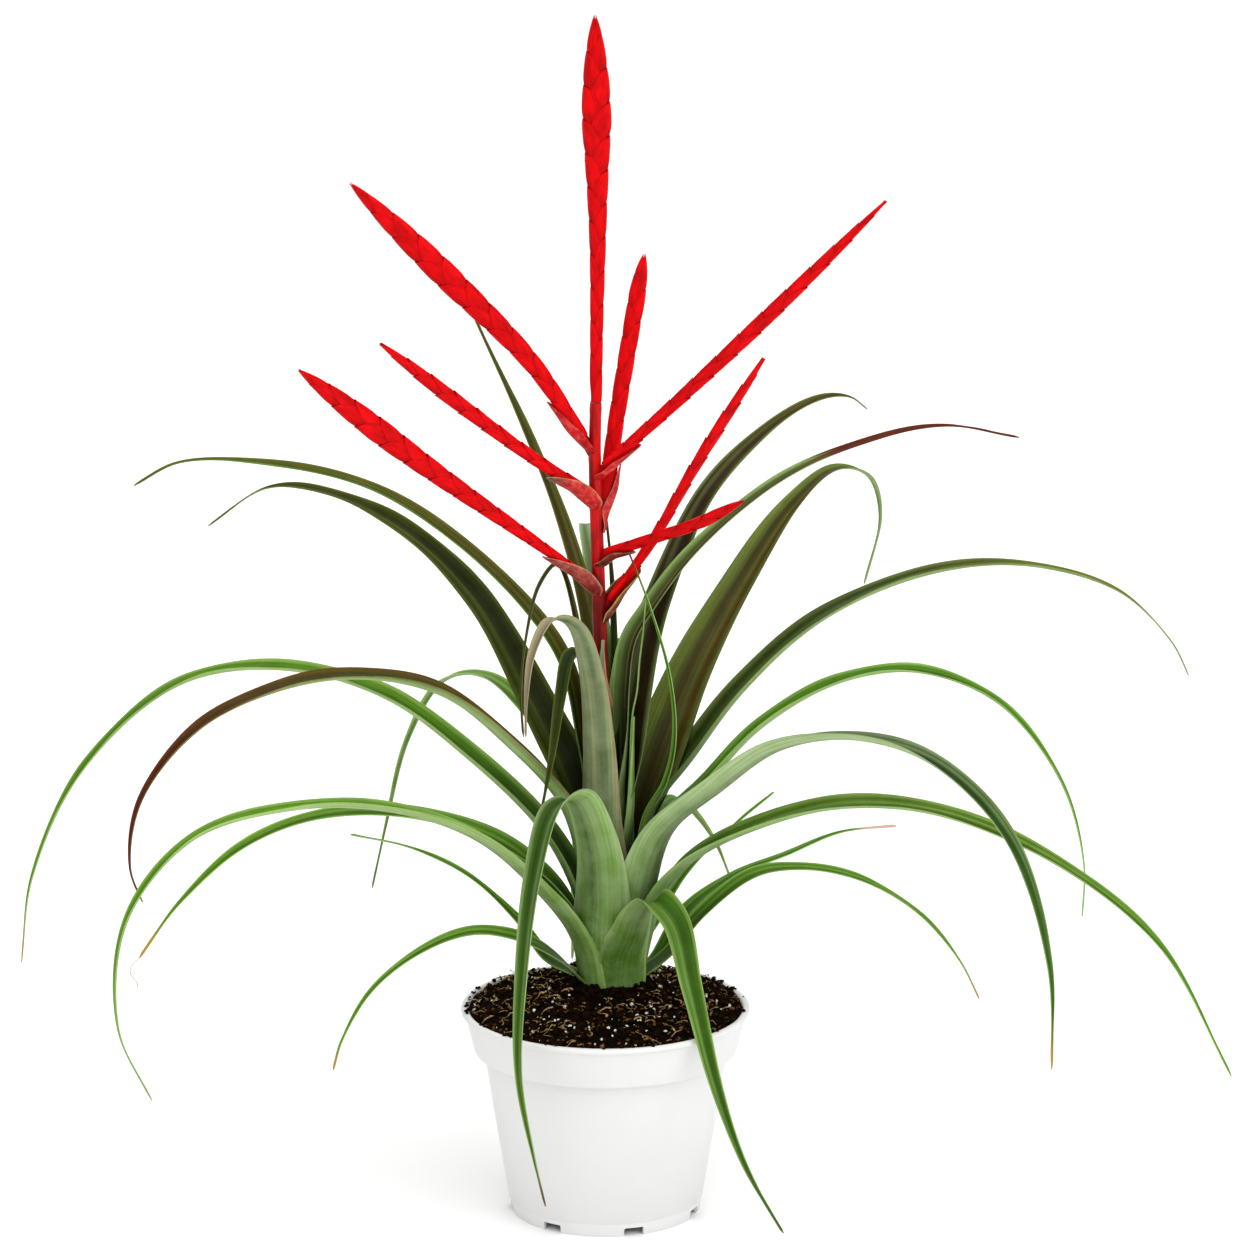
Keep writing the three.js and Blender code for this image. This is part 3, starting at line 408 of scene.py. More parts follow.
def crown_radius(height):
    """The stem's radius at heights: a thick crown low down, a slim stalk above."""
    above = (np.asarray(height, float) - CROWN_TOP_Z) / (STEM_TOP_Z - CROWN_TOP_Z)
    stalk = mix(SCAPE_RADIUS, SCAPE_TOP_RADIUS, above)
    crown = mix(CROWN_RADIUS, SCAPE_RADIUS, smooth(SOIL_LINE, CROWN_TOP_Z, height))
    return np.where(np.asarray(height) > CROWN_TOP_Z, stalk, crown)


def direction(turn):
    """The level direction of a turn."""
    return np.array([math.cos(math.radians(turn)), math.sin(math.radians(turn)), 0.0])


def turned(vectors, axes, angles):
    """Each row of vectors turned about its row of axes."""
    c, s = np.cos(angles)[:, None], np.sin(angles)[:, None]
    along = np.sum(vectors * axes, -1, keepdims=True) * axes
    return vectors * c + np.cross(axes, vectors) * s + along * (1 - c)


def beside_stem(out, height, away=0):
    """Where a blade begins, standing off the stem by the gap."""
    return stem_centre(height) + out * (float(crown_radius(height)) + BLADE_STAND_OFF + away)


# Work on objects, by operators.


def assign(item, settings):
    """Sets several of an item's properties."""
    for key, value in settings.items():
        setattr(item, key, value)


def select(*pieces):
    """Leaves only these selected, the first of them active."""
    bpy.ops.object.select_all(action="DESELECT")
    for piece in pieces:
        piece.select_set(True)
    if pieces:
        bpy.context.view_layer.objects.active = pieces[0]


def named(name):
    """The active object, with its mesh, under this name."""
    piece = bpy.context.object
    piece.name = name
    piece.data.name = name
    return piece


def give_modifier(piece, kind, **settings):
    """Adds a modifier to the piece and applies it."""
    modifier = piece.modifiers.new(kind.title(), kind)
    assign(modifier, settings)
    select(piece)
    bpy.ops.object.modifier_apply(modifier=modifier.name)


def smooth_by_angle(piece, degrees):
    """Smooth shading that keeps edges sharper than the angle."""
    select(piece)
    bpy.ops.object.shade_smooth_by_angle(angle=math.radians(degrees))


def ride(piece, slot, *nodes):
    """The piece rides on the root and stands for nodes; the slot is not used."""
    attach(piece, "root")
    if nodes:
        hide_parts(*nodes)


def sheet_grid(name, columns, stations):
    """A flat grid to be shaped, its vertices in rows of columns + 1."""
    select()
    bpy.ops.mesh.primitive_grid_add(x_subdivisions=columns, y_subdivisions=stations, size=2)
    return named(name)


def set_points(piece, points):
    """Moves the mesh's vertices to points in millimetres."""
    piece.data.vertices.foreach_set("co", (points.reshape(-1, 3) * MM).astype(np.float32).ravel())
    piece.data.update()


def set_uv(piece, places):
    """Writes the map 'blade' from places at the vertices, in millimetres across and along."""
    mesh = piece.data
    layer = mesh.uv_layers[0] if mesh.uv_layers else mesh.uv_layers.new()
    layer.name = "blade"
    corners = np.zeros(len(mesh.loops), np.int32)
    mesh.loops.foreach_get("vertex_index", corners)
    layer.data.foreach_set("uv", places.reshape(-1, 2)[corners].astype(np.float32).ravel())


def set_colour(piece, name, colours):
    """Writes a colour attribute at the vertices."""
    layer = piece.data.color_attributes.new(name, "FLOAT_COLOR", "POINT")
    layer.data.foreach_set("color", colours.reshape(-1, 4).astype(np.float32).ravel())


def set_weights(piece, name, weights):
    """Writes a vertex group from weights at the vertices, in steps of a hundredth."""
    group = piece.vertex_groups.new(name=name)
    weights = np.round(weights.ravel(), 2)
    for level in np.unique(weights):
        group.add([int(m) for m in np.nonzero(weights == level)[0]], float(level), "REPLACE")


def loose_mesh(name, points, faces):
    """A mesh object from points in millimetres."""
    mesh = bpy.data.meshes.new(name)
    mesh.from_pydata((points * MM).tolist(), [], [tuple(f) for f in faces])
    piece = bpy.data.objects.new(name, mesh)
    bpy.context.scene.collection.objects.link(piece)
    return piece


def rings_piece(name, rings, sides, centre=lambda z: (0.0, 0.0)):
    """A turned shape, drawn ring by ring from a circle by extruding its open edge."""
    select()
    radius, z = rings[0]
    x, y = centre(z)
    bpy.ops.mesh.primitive_circle_add(vertices=sides, radius=radius * MM,
                                      location=(x * MM, y * MM, z * MM))
    piece = named(name)
    bpy.ops.object.transform_apply(location=True, rotation=False, scale=False)
    bpy.ops.object.mode_set(mode="EDIT")
    bpy.ops.mesh.select_all(action="SELECT")
    for (r0, z0), (r1, z1) in zip(rings, rings[1:]):
        x0, y0 = centre(z0)
        x1, y1 = centre(z1)
        shift = ((x1 - x0) * MM, (y1 - y0) * MM, (z1 - z0) * MM)
        bpy.ops.mesh.extrude_edges_move(TRANSFORM_OT_translate={"value": shift})
        bpy.ops.transform.resize(value=(r1 / r0, r1 / r0, 1),
                                 center_override=(x1 * MM, y1 * MM, z1 * MM))
    bpy.ops.object.mode_set(mode="OBJECT")
    close_ends(piece)
    return piece


def close_ends(piece):
    """Fills a turned piece's open ends and turns its faces outwards."""
    select(piece)
    bpy.ops.object.mode_set(mode="EDIT")
    bpy.ops.mesh.select_all(action="DESELECT")
    bpy.ops.mesh.select_non_manifold()
    bpy.ops.mesh.fill_holes(sides=0)
    bpy.ops.mesh.select_all(action="SELECT")
    bpy.ops.mesh.normals_make_consistent(inside=False)
    bpy.ops.object.mode_set(mode="OBJECT")


# Blades. The arc round the stem opens into the channel from a share of the sheathed length on, and
# the clasp ends between two shares of it. A blade twists between two shares of its own length, and
# its outer half turns further between two more. It is no narrower than the least width, and its
# end is rounded off over a short share.
ARC_OPENS = 0.15
CLASP_ENDS = (0.2, 1.5)
TWISTS = (0.03, 0.32)
TIP_TURNS = (0.5, 0.85)
LEAST_WIDTH = 1.7
END_ROUNDED = (-0.002, 0.012)
# The margins' ripples: their height, the shares over which they grow and the range of their length.
RIPPLE_HEIGHT = 0.35
RIPPLES_GROW = (0.2, 0.5)
RIPPLE_LENGTHS = (9, 14)
# A blade's thickness at its margins as a share of the middle's, and how much its end is thinner.
MARGIN_THICKNESS = 0.45
END_THINNER = 0.35


def blade_surface(knots, side, blade, stations, columns):
    """The middle surface of a blade: first an arc round the stem, then a channel.

    Its breadth lies along side. Wrap and fullest are the most that the arc and the channel may open,
    as half angles in radians, and steady keeps the channel's radius as the blade gets narrower.
    Gives points, the share along and the place across (-1 to 1), each in rows of columns + 1, and
    the blade's length and breadths.
    """
    path = Path(knots)
    share = np.linspace(0, 1, stations + 1)
    centre = path.at(share)
    along = path.tangent(share)
    held, reached = blade["sheathed"], share * path.length
    sheath = 1 - smooth(ARC_OPENS * held, held, reached)
    to_stem = stem_centre(centre[:, 2]) - centre
    reach = np.linalg.norm(to_stem, axis=1)
    inward = np.cross(along, square_to(along, side))
    inward = unit(mix(inward, to_stem / reach[:, None], sheath[:, None]))
    flat_side = unit(np.cross(inward, along))
    turn = np.radians(blade["twist"] * smooth(*TWISTS, share)
                      + blade["tip_turn"] * smooth(*TIP_TURNS, share))
    flat_side = turned(flat_side, along, turn)
    inward = turned(inward, along, turn)
    breadth = (blade["width"] * (1 - share) ** blade["taper"]
               + blade["clasp"] * (1 - smooth(CLASP_ENDS[0] * held, CLASP_ENDS[1] * held, reached)))
    breadth = np.maximum(breadth, LEAST_WIDTH) * np.sqrt(smooth(*END_ROUNDED, 1 - share))
    channel = mix(breadth, blade["width"], blade["steady"])
    curl = mix(2 * math.radians(blade["fold"]) / channel, 1 / reach, sheath)
    half = np.minimum(breadth * curl / 2, mix(blade["fullest"], blade["wrap"], sheath))
    place = np.linspace(1, -1, columns + 1)
    angle = half[:, None] * place[None, :]
    radius = (1 / curl)[:, None]
    points = (centre[:, None, :]
              + flat_side[:, None, :] * (radius * np.sin(angle))[..., None]
              + inward[:, None, :] * (radius - radius * np.cos(angle))[..., None])
    return points, share[:, None] + 0 * angle, place[None, :] + 0 * angle, path.length, breadth


def blade_piece(name, knots, side, blade, thickness, stations, columns, inner, outer, colours):
    """A thick blade with its two faces' colours and materials."""
    points, share, place, length, breadth = blade_surface(knots, side, blade, stations, columns)
    random = seeded(name)
    wave = random.uniform(0, 6.28, 2)
    lift = RIPPLE_HEIGHT * smooth(*RIPPLES_GROW, share) * np.abs(place) ** 3 * np.sin(
        share * length / random.uniform(*RIPPLE_LENGTHS) + wave[0] + (place > 0) * wave[1])
    piece = sheet_grid(name, columns, stations)
    set_points(piece, points + np.array(UP) * lift[..., None])
    middle = points[stations // 2]
    hollow_side = 0.5 * (middle[0] + middle[-1]) - middle[columns // 2]
    normal = piece.data.vertices[stations // 2 * (columns + 1) + columns // 2].normal
    if np.dot(np.array(normal), hollow_side) < 0:
        piece.data.flip_normals()
    set_uv(piece, np.stack([place * breadth[:, None] / 2, share * length], -1))
    for attribute, values in colours(share, place).items():
        set_colour(piece, attribute, values)
    to_middle = 1 - np.abs(place) ** 4
    set_weights(piece, "thick", MARGIN_THICKNESS
                + (1 - MARGIN_THICKNESS) * to_middle * (1 - END_THINNER * share))
    piece.data.materials.append(inner)
    piece.data.materials.append(outer)
    give_modifier(piece, "SOLIDIFY", thickness=thickness * MM, offset=0, material_offset=1,
                  vertex_group="thick", use_even_offset=False)
    piece.vertex_groups.clear()
    smooth_by_angle(piece, 50)
    return piece


# Shares of a blade's length over which its foot's colour turns to the body's and that to the end's.
TO_BODY = (0.05, 0.36)
TO_END = (0.5, 0.95)
# Stripes on a blade, by places across it from -1 to 1: the breadth of the dark band along its
# middle, of a pale streak that is a painted highlight and how far that is from the band, and the
# pale rim. The strengths are how much of the painted highlight's, the rim's and the half's colour
# shows.
BAND_BREADTH = 0.34
HIGHLIGHT_BREADTH = 0.14
HIGHLIGHT_FROM_BAND = 0.5
HIGHLIGHT_STRENGTH = 0.28
RIM = (0.7, 0.96)
RIM_STRENGTH = 0.57
HALF_STRENGTH = 0.85
# Stations along a leaf or a stalk bract and columns across it, and a stalk bract's thickness.
LEAF_GRID = (110, 12)
STALK_BRACT_GRID = (28, 20)
STALK_BRACT_THICKNESS = 0.7


def leaf_colours(leaf):
    """Colours over a leaf: from foot to end, with stripes, a margin and sometimes a dry tip."""
    tone = replace(TONES[leaf.tone], **OWN_TONES.get(leaf.name, {}))
    middle = seeded(leaf.name, 7).uniform(-0.35, 0.35)
    highlight_place = middle + (-HIGHLIGHT_FROM_BAND if middle > 0 else HIGHLIGHT_FROM_BAND)

    def paint(share, place):
        band = np.exp(-((place - middle) / BAND_BREADTH) ** 2) * smooth(0.02, 0.2, share)
        rim = RIM_STRENGTH * smooth(*RIM, np.abs(place))
        # A pale streak beside the band, in the margin's colour, is a painted highlight.
        highlight = HIGHLIGHT_STRENGTH * np.exp(-((place - highlight_place) / HIGHLIGHT_BREADTH) ** 2)
        highlight = highlight * smooth(0.08, 0.3, share) * smooth(1, 0.6, share)
        edge, dry = colours_of((tone.margin, tone.dry_colour))
        tip = smooth(tone.dry - 0.03, tone.dry + 0.02, share + 0.015 * np.sin(place * 9))
        layers = {}
        for layer, shades in (("face_colour", tone.face), ("under_colour", tone.under)):
            foot, body, end = colours_of(shades)
            # The foot's colour is darker partly as painted shade where the leaves crowd in the
            # crown.
            colour = mix(foot, body, smooth(*TO_BODY, share)[..., None])
            colour = mix(colour, end, smooth(*TO_END, share)[..., None])
            if tone.half:
                side = smooth(-0.1, 0.5, place * tone.half_side) * smooth(0.03, 0.2, share)
                side *= tone.half_on_face if layer == "face_colour" else 1
                half = np.array(linear(tone.half))
                colour = mix(colour, half, HALF_STRENGTH * side[..., None])
            colour = colour * (1 - tone.band * band)[..., None]
            colour = mix(colour, edge, np.maximum(rim, highlight)[..., None])
            layers[layer] = mix(colour, dry, tip[..., None])
        return layers

    return paint


def leaf_piece(leaf, materials):
    """One leaf of the rosette."""
    out = direction(leaf.turn)
    side = np.cross(UP, out)
    knots = [beside_stem(out, SOIL_LINE + leaf.start, leaf.away)]
    for reach, height, *sway in leaf.path:
        knots.append(np.array([PLANT_X, PLANT_Y, height]) + out * reach + side * sum(sway))
    blade = {**vars(leaf), "wrap": 1.3, "fullest": 1.15, "steady": 0}
    thickness = bpy.context.scene.bromeliad_leaves.thickness / MM
    return blade_piece(leaf.name, knots, side, blade, thickness, *LEAF_GRID, *materials,
                       leaf_colours(leaf))


# The hair at one leaf's end: its length, radius, the steps it is drawn in and how far it curls out.
HAIR_LEAF = "leaf_left_low_inner"
HAIR_LENGTH = 16
HAIR_RADIUS = 0.28
HAIR_STEPS = 10
HAIR_CURL = 4.5


def tip_hair(leaf):
    """The dead tip of a blade, shrunk to a hair that hangs from its end in a curl."""
    out = direction(leaf.turn)
    reach, top = leaf.path[-1][:2]

    def centre(z):
        fallen = (top - z) / HAIR_LENGTH
        away = reach + HAIR_CURL * math.sin(math.pi * min(1, fallen * 1.2)) + 1.5 * fallen
        return PLANT_X + out[0] * away, PLANT_Y + out[1] * away

    rings = [(HAIR_RADIUS, top - HAIR_LENGTH * k / HAIR_STEPS) for k in range(HAIR_STEPS + 1)]
    piece = rings_piece("dead_tip_hair", rings, 6, centre)
    piece.data.materials.append(soil_material("dead_leaf_fibre"))
    return piece


# Spikes: the least half width, how blunt the point is, each bract's rows and columns, its length in
# steps from bract to bract, the depth of the lens that they lie on by its half width, and the
# bracts' thickness.
SPIKE_LEAST = 0.5
SPIKE_POINT = 0.72
BRACT_ROWS = 12
BRACT_REACH = 2.9
LENS_DEPTH = 0.34
BRACT_THICKNESS = 0.32
# Across a bract, in half widths of its spike: where its keel starts, and how far its margins spread
# from the keel. It lifts off the lens by a least height, and by more towards its tip.
KEEL_FROM = 0.72
BRACT_SPREAD = 1.62
LEAST_LIFT = 0.12
TIP_LIFT = 0.75
# A spike's core: its width by the spike's, its rings and sides, where it ends, the places of its
# first rings between the stalk and the spike's foot, and how far below that foot its root is.
CORE_SHARE = 0.8
CORE_RINGS = 40
CORE_SIDES = 16
CORE_END = 0.985
ROOT_RINGS = (0, 0.35, 0.75)
ROOT_DROP = 9


def spike_half(share, width, widest, root, rise=1.1):
    """A spike's half width at shares of its length."""
    share = np.asarray(share, float)
    low = mix(root, 1, (share / widest) ** rise)
    past = np.clip((share - widest) / (1 - widest), 0, 1)
    outline = np.where(share < widest, low, (1 - past ** 2) ** SPIKE_POINT)
    return np.maximum(SPIKE_LEAST, width / 2 * outline)


def spike_frame(spike):
    """A side spike's outward direction, its path and the ways through its thickness and width."""
    out = direction(spike.turn)
    side = np.cross(UP, out)
    centre = stem_centre(spike.path[0][1])
    path = Path([np.array([centre[0], PLANT_Y, z]) + out * reach for reach, z in spike.path])
    along = path.tangent(0.5)[0]
    deep = turned(side[None], along[None], np.array([math.radians(spike.roll)]))[0]
    return out, path, deep, unit(np.cross(along, deep))


def spike_bracts(name, path, deep, wide, outline, material):
    """Two ranks of folded bracts that overlap along a spike.

    On a bract v runs from its foot to its tip, and u over the keel from one margin to the other.
    """
    pitch = bpy.context.scene.bromeliad_spikes.bract_pitch / MM
    count = max(6, round(2 * path.length / pitch))
    step = 1 / count
    random = np.random.default_rng(len(name) * 31 + 5)
    v = np.linspace(0, 1, BRACT_ROWS + 1)
    u = np.linspace(-1, 1, BRACT_ROWS + 1)
    keel = mix(KEEL_FROM, 1.0, smooth(0.0, 0.55, v)) * (1 - 0.05 * smooth(0.85, 1.0, v))
    spread = BRACT_SPREAD * (1 - v ** 2.6) ** 0.62
    x = keel[:, None] - spread[:, None] * np.abs(u)[None, :] ** 1.15
    lens = np.sqrt(np.clip(1 - np.clip(x / 1.02, -1, 1) ** 2, 0, 1))
    lift = LEAST_LIFT + TIP_LIFT * v[:, None] * smooth(0, 0.25, np.abs(u))[None, :]
    quads, points, uvs, tints = [], [], [], []
    for index in range(-1, count):
        rank = 1 if index % 2 else -1
        first = index * step
        share = first + v * min(BRACT_REACH * step, 1.0 - first + 0.002)
        held = np.clip(share, 0, 1)
        along = path.tangent(held)
        half = spike_half(held, *outline)[:, None]
        depth = (half * LENS_DEPTH * lens + lift) * np.sign(u)[None, :]
        grid = (path.at(held)[:, None, :]
                + square_to(along, wide)[:, None, :] * (rank * x * half)[..., None]
                + square_to(along, deep)[:, None, :] * depth[..., None])
        start = len(points) * x.size
        points.append(grid.reshape(-1, 3))
        for row in range(BRACT_ROWS):
            for column in range(BRACT_ROWS):
                a = start + row * (BRACT_ROWS + 1) + column
                b = a + BRACT_ROWS + 1
                quads.append((a, a + 1, b + 1, b) if rank > 0 else (b, b + 1, a + 1, a))
        down = (share * path.length)[:, None] + 0 * x
        uvs.append(np.stack([u[None, :] * half * 1.5, down], -1).reshape(-1, 2))
        # Painted shade darkens each bract towards its covered foot; each bract is also darker
        # towards its margins.
        shade = random.uniform(0.8, 1.1) * (0.62 + 0.38 * smooth(0.15, 0.6, v))[:, None]
        shade = shade * (1 - 0.28 * smooth(0.75, 1.0, np.abs(u)))[None, :]
        tip = smooth(0.9, 1.0, v)[:, None] * smooth(0.5, 0.0, np.abs(u))[None, :]
        tints.append(np.stack([shade, tip + 0 * shade], -1).reshape(-1, 2))
    piece = loose_mesh(name, np.vstack(points), quads)
    set_colour(piece, "spike_colour", bract_tints(np.vstack(tints)))
    set_uv(piece, np.vstack(uvs))
    piece.data.materials.append(material)
    give_modifier(piece, "SOLIDIFY", thickness=BRACT_THICKNESS * MM, offset=0,
                  use_even_offset=False)
    smooth_by_angle(piece, 45)
    return piece


def bract_tints(tints):
    """Scarlet in light and shade, with a browner tip."""
    light, dark, tip = colours_of(("#dc0208", "#840106", "#7c120c"))
    colours = mix(dark, light, np.clip(tints[:, :1], 0, 1))
    return mix(colours, tip, 0.6 * tints[:, 1:2])


def spike_core(path, deep, wide, outline, root):
    """Points and faces of a spike's lens-shaped core, grown from its root on the stalk."""
    share = np.linspace(0, CORE_END, CORE_RINGS)
    centre, along = path.at(share), path.tangent(share)
    if root is not None:
        steps = np.array(ROOT_RINGS)[:, None]
        share = np.concatenate([0 * steps[:, 0], share])
        along = np.vstack([np.tile(unit(centre[0] - root), steps.shape), along])
        centre = np.vstack([mix(root, centre[0], steps), centre])
    half = CORE_SHARE * spike_half(share, *outline)[:, None]
    angle = np.linspace(0, 2 * math.pi, CORE_SIDES, endpoint=False)
    ring = (centre[:, None, :]
            + square_to(along, wide)[:, None, :] * (half * np.cos(angle))[..., None]
            + square_to(along, deep)[:, None, :] * ((0.3 + 0.3 * half) * np.sin(angle))[..., None])
    faces = []
    for start in range(0, (len(share) - 1) * CORE_SIDES, CORE_SIDES):
        for k in range(CORE_SIDES):
            a, b = start + k, start + (k + 1) % CORE_SIDES
            faces.append((a, b, b + CORE_SIDES, a + CORE_SIDES))
    faces.append(tuple(range(CORE_SIDES - 1, -1, -1)))
    faces.append(tuple((len(share) - 1) * CORE_SIDES + k for k in range(CORE_SIDES)))
    return ring.reshape(-1, 3), faces


def full_spike(name, shape, material, root=None):
    """Bracts and core together, from the path, the ways through and across, and the outline."""
    bracts = spike_bracts(name, *shape, material)
    core = loose_mesh(name + "_core", *spike_core(*shape, root))
    colour = np.tile(np.array(linear("#9c0812")), (len(core.data.vertices), 1))
    set_colour(core, "spike_colour", colour)
    core.data.uv_layers.new(name="blade")
    core.data.materials.append(material)
    select(bracts, core)
    bpy.ops.object.join()
    return named(name)


# Materials. Lines along blades read the map 'blade', and patches the piece's own space.


def node(tree, kind, inputs=(), out=0, **settings):
    """Adds a node with its settings and gives one of its outputs.

    Inputs stand in their order, or under names or numbers, and take a value or another's output.
    """
    item = tree.nodes.new(kind)
    assign(item, settings)
    for key, value in (inputs if isinstance(inputs, dict) else dict(enumerate(inputs))).items():
        if isinstance(value, bpy.types.NodeSocket):
            tree.links.new(value, item.inputs[key])
        else:
            item.inputs[key].default_value = value
    return item.outputs[out] if item.outputs else None


def new_material(name):
    """An empty node material and its tree."""
    material = bpy.data.materials.new(name)
    material.use_nodes = True
    material.node_tree.nodes.clear()
    return material, material.node_tree


def finish_material(tree, colour, bump_height, strength, distance, **shader):
    """Joins colour and bump, its distance in millimetres, to a Principled shader and the output."""
    bump = node(tree, "ShaderNodeBump", {"Height": bump_height, "Strength": strength,
                                         "Distance": distance * MM})
    inputs = {"Base Color": colour, "Normal": bump}
    inputs.update({key.replace("_", " "): value for key, value in shader.items()})
    principled = node(tree, "ShaderNodeBsdfPrincipled", inputs)
    node(tree, "ShaderNodeOutputMaterial", {"Surface": principled})


def cloudy(tree, place, scale, detail, roughness=0.5):
    """Noise over a place, stretched by a scale of three."""
    mapped = node(tree, "ShaderNodeMapping", {"Vector": place, "Scale": scale})
    return node(tree, "ShaderNodeTexNoise", {"Vector": mapped, "Scale": 1.0, "Detail": detail,
                                             "Roughness": roughness})


def blade_lines(tree, spacing, stretch, detail=3.0):
    """Lines along a blade, spacing millimetres apart and stretched lengthwise."""
    place = node(tree, "ShaderNodeUVMap", uv_map="blade")
    return cloudy(tree, place, (1 / spacing, 1 / (spacing * stretch), 1), detail, 0.6)


def patches(tree, across, detail=2.0, roughness=0.5, upright=None):
    """Patches in the piece's own space, so many millimetres across and upright."""
    place = node(tree, "ShaderNodeTexCoord", out="Object")
    level = 1 / (across * MM)
    scale = (level, level, 1 / (upright * MM) if upright else level)
    return cloudy(tree, place, scale, detail, roughness)


def shaded(tree, colour, *patterns):
    """A colour made lighter and darker by patterns.

    Each pattern comes with its range and the factors at the range's two ends.
    """
    factors = [node(tree, "ShaderNodeMapRange", pattern) for pattern in patterns]
    value = factors[0]
    for factor in factors[1:]:
        value = node(tree, "ShaderNodeMath", (value, factor), operation="MULTIPLY")
    return node(tree, "ShaderNodeHueSaturation", {"Color": colour, "Value": value})


def giving_way(tree, colour, other, *pattern):
    """A colour that gives way to another by a pattern, its range and the shares at its ends."""
    share = node(tree, "ShaderNodeMapRange", pattern)
    return node(tree, "ShaderNodeMix", {0: share, 6: colour, 7: other}, 2, data_type="RGBA")


def leaf_material(name, attribute, bloom):
    """Bromeliad leaf: a leathery skin with fine parallel veins and a dusting of grey scales.

    Veins stand 1.2 mm apart, ribs 4.5 mm, and the scales gather in clouds 14 mm across.
    """
    material, tree = new_material(name)
    base = node(tree, "ShaderNodeAttribute", attribute_name=attribute)
    veins = blade_lines(tree, 1.2, 120)
    ribs = blade_lines(tree, 4.5, 30, 2.0)
    scales = patches(tree, 14.3, 4.0, 0.62)
    lined = shaded(tree, base, (veins, 0.34, 0.66, 0.8, 1.2), (ribs, 0.3, 0.7, 1.22, 0.76),
                   (scales, 0.35, 0.65, 0.93, 1.07))
    dusted = giving_way(tree, lined, linear("#a2ad8b"), scales, 0.38, 0.7, 0.0, bloom)
    height = node(tree, "ShaderNodeMath", (veins, scales), operation="ADD")
    finish_material(tree, dusted, height, 0.45, 0.3, Roughness=0.48, IOR=1.45,
                    Specular_IOR_Level=0.12)
    return material


def spike_material():
    """Flower bract: scarlet, waxy, closely ribbed lengthwise, with a soft gloss.

    Ribs stand 0.9 mm apart, under broad lines 5 mm across that paint shade into the crevices.
    """
    material, tree = new_material("scarlet_waxy_bract")
    base = node(tree, "ShaderNodeAttribute", attribute_name="spike_colour")
    ribs = blade_lines(tree, 0.9, 14)
    # Broad lines darken the bracts as painted shade of their crevices.
    crevice_shade_lines = blade_lines(tree, 5.0, 2.5, 2.0)
    lined = shaded(tree, base, (ribs, 0.35, 0.65, 0.86, 1.12), (crevice_shade_lines, 0.35, 0.75, 1.08, 0.66))
    finish_material(tree, lined, ribs, 0.45, 0.2, Roughness=0.4, IOR=1.45,
                    Specular_IOR_Level=0.08)
    return material


def scurfy_material():
    """Stalk bract: thin and papery, finely ribbed and dusted with pale scales.

    Ribs stand 0.8 mm apart, and the scales gather in patches 4 mm across.
    """
    material, tree = new_material("papery_stalk_bract")
    base = node(tree, "ShaderNodeAttribute", attribute_name="bract_colour")
    ribs = blade_lines(tree, 0.8, 20)
    scales = patches(tree, 3.85, 4.0, 0.6)
    lined = shaded(tree, base, (ribs, 0.35, 0.65, 0.75, 1.2), (scales, 0.35, 0.65, 0.7, 1.25))
    dusted = giving_way(tree, lined, linear("#c4816f"), scales, 0.5, 0.72, 0.0, 0.3)
    finish_material(tree, dusted, ribs, 0.5, 0.25, Roughness=0.5, IOR=1.45,
                    Specular_IOR_Level=0.2)
    return material


def stalk_material():
    """Flower stalk: fleshy, scarlet at the top, dark red lower and in patches, which is painted
    shadow under the bracts, and brown at its foot.

    The shadow patches are 5.6 mm across and 22 mm tall, over fibres 1.1 mm apart. Heights are in
    metres.
    """
    material, tree = new_material("fleshy_red_stalk")
    place = node(tree, "ShaderNodeTexCoord", out="Object")
    height = node(tree, "ShaderNodeSeparateXYZ", (place,), out="Z")
    bract_shadow_patches = patches(tree, 5.56, 3.0, upright=22.2)
    fibres = patches(tree, 1.11, 3.0, upright=22.2)
    # Dark red lower down and in patches under the scarlet is painted shadow under the bracts.
    dark = giving_way(tree, linear("#3a3010"), linear("#6c0c06"), height, 0.19, 0.30)
    rising = node(tree, "ShaderNodeMapRange", (height, 0.31, 0.44))
    broken = node(tree, "ShaderNodeMapRange", (bract_shadow_patches, 0.4, 0.6, -0.35, 0.55))
    share = node(tree, "ShaderNodeMath", (rising, broken), operation="ADD", use_clamp=True)
    base = node(tree, "ShaderNodeMix", {0: share, 6: dark, 7: linear("#c80a0c")}, 2,
                data_type="RGBA")
    lined = shaded(tree, base, (fibres, 0.38, 0.64, 1.1, 0.75))
    finish_material(tree, lined, fibres, 0.4, 0.3, Roughness=0.42, IOR=1.45,
                    Specular_IOR_Level=0.18)
    return material


def pot_material(colour):
    """Polypropylene, injection moulded: satin white with faint flow marks 45 mm across.

    The mould's grain is finer than a render shows, so it is drawn 0.7 mm across.
    """
    material, tree = new_material("moulded_white_polypropylene")
    flow = patches(tree, 45.5, 3.0)
    grain = patches(tree, 0.714)
    base = giving_way(tree, colour, linear("#dcdcdb"), flow, 0.35, 0.7, 0.0, 0.5)
    finish_material(tree, base, grain, 0.12, 0.15, Roughness=0.42, IOR=1.49,
                    Subsurface_Weight=0.05, Subsurface_Radius=(0.01, 0.01, 0.01))
    return material


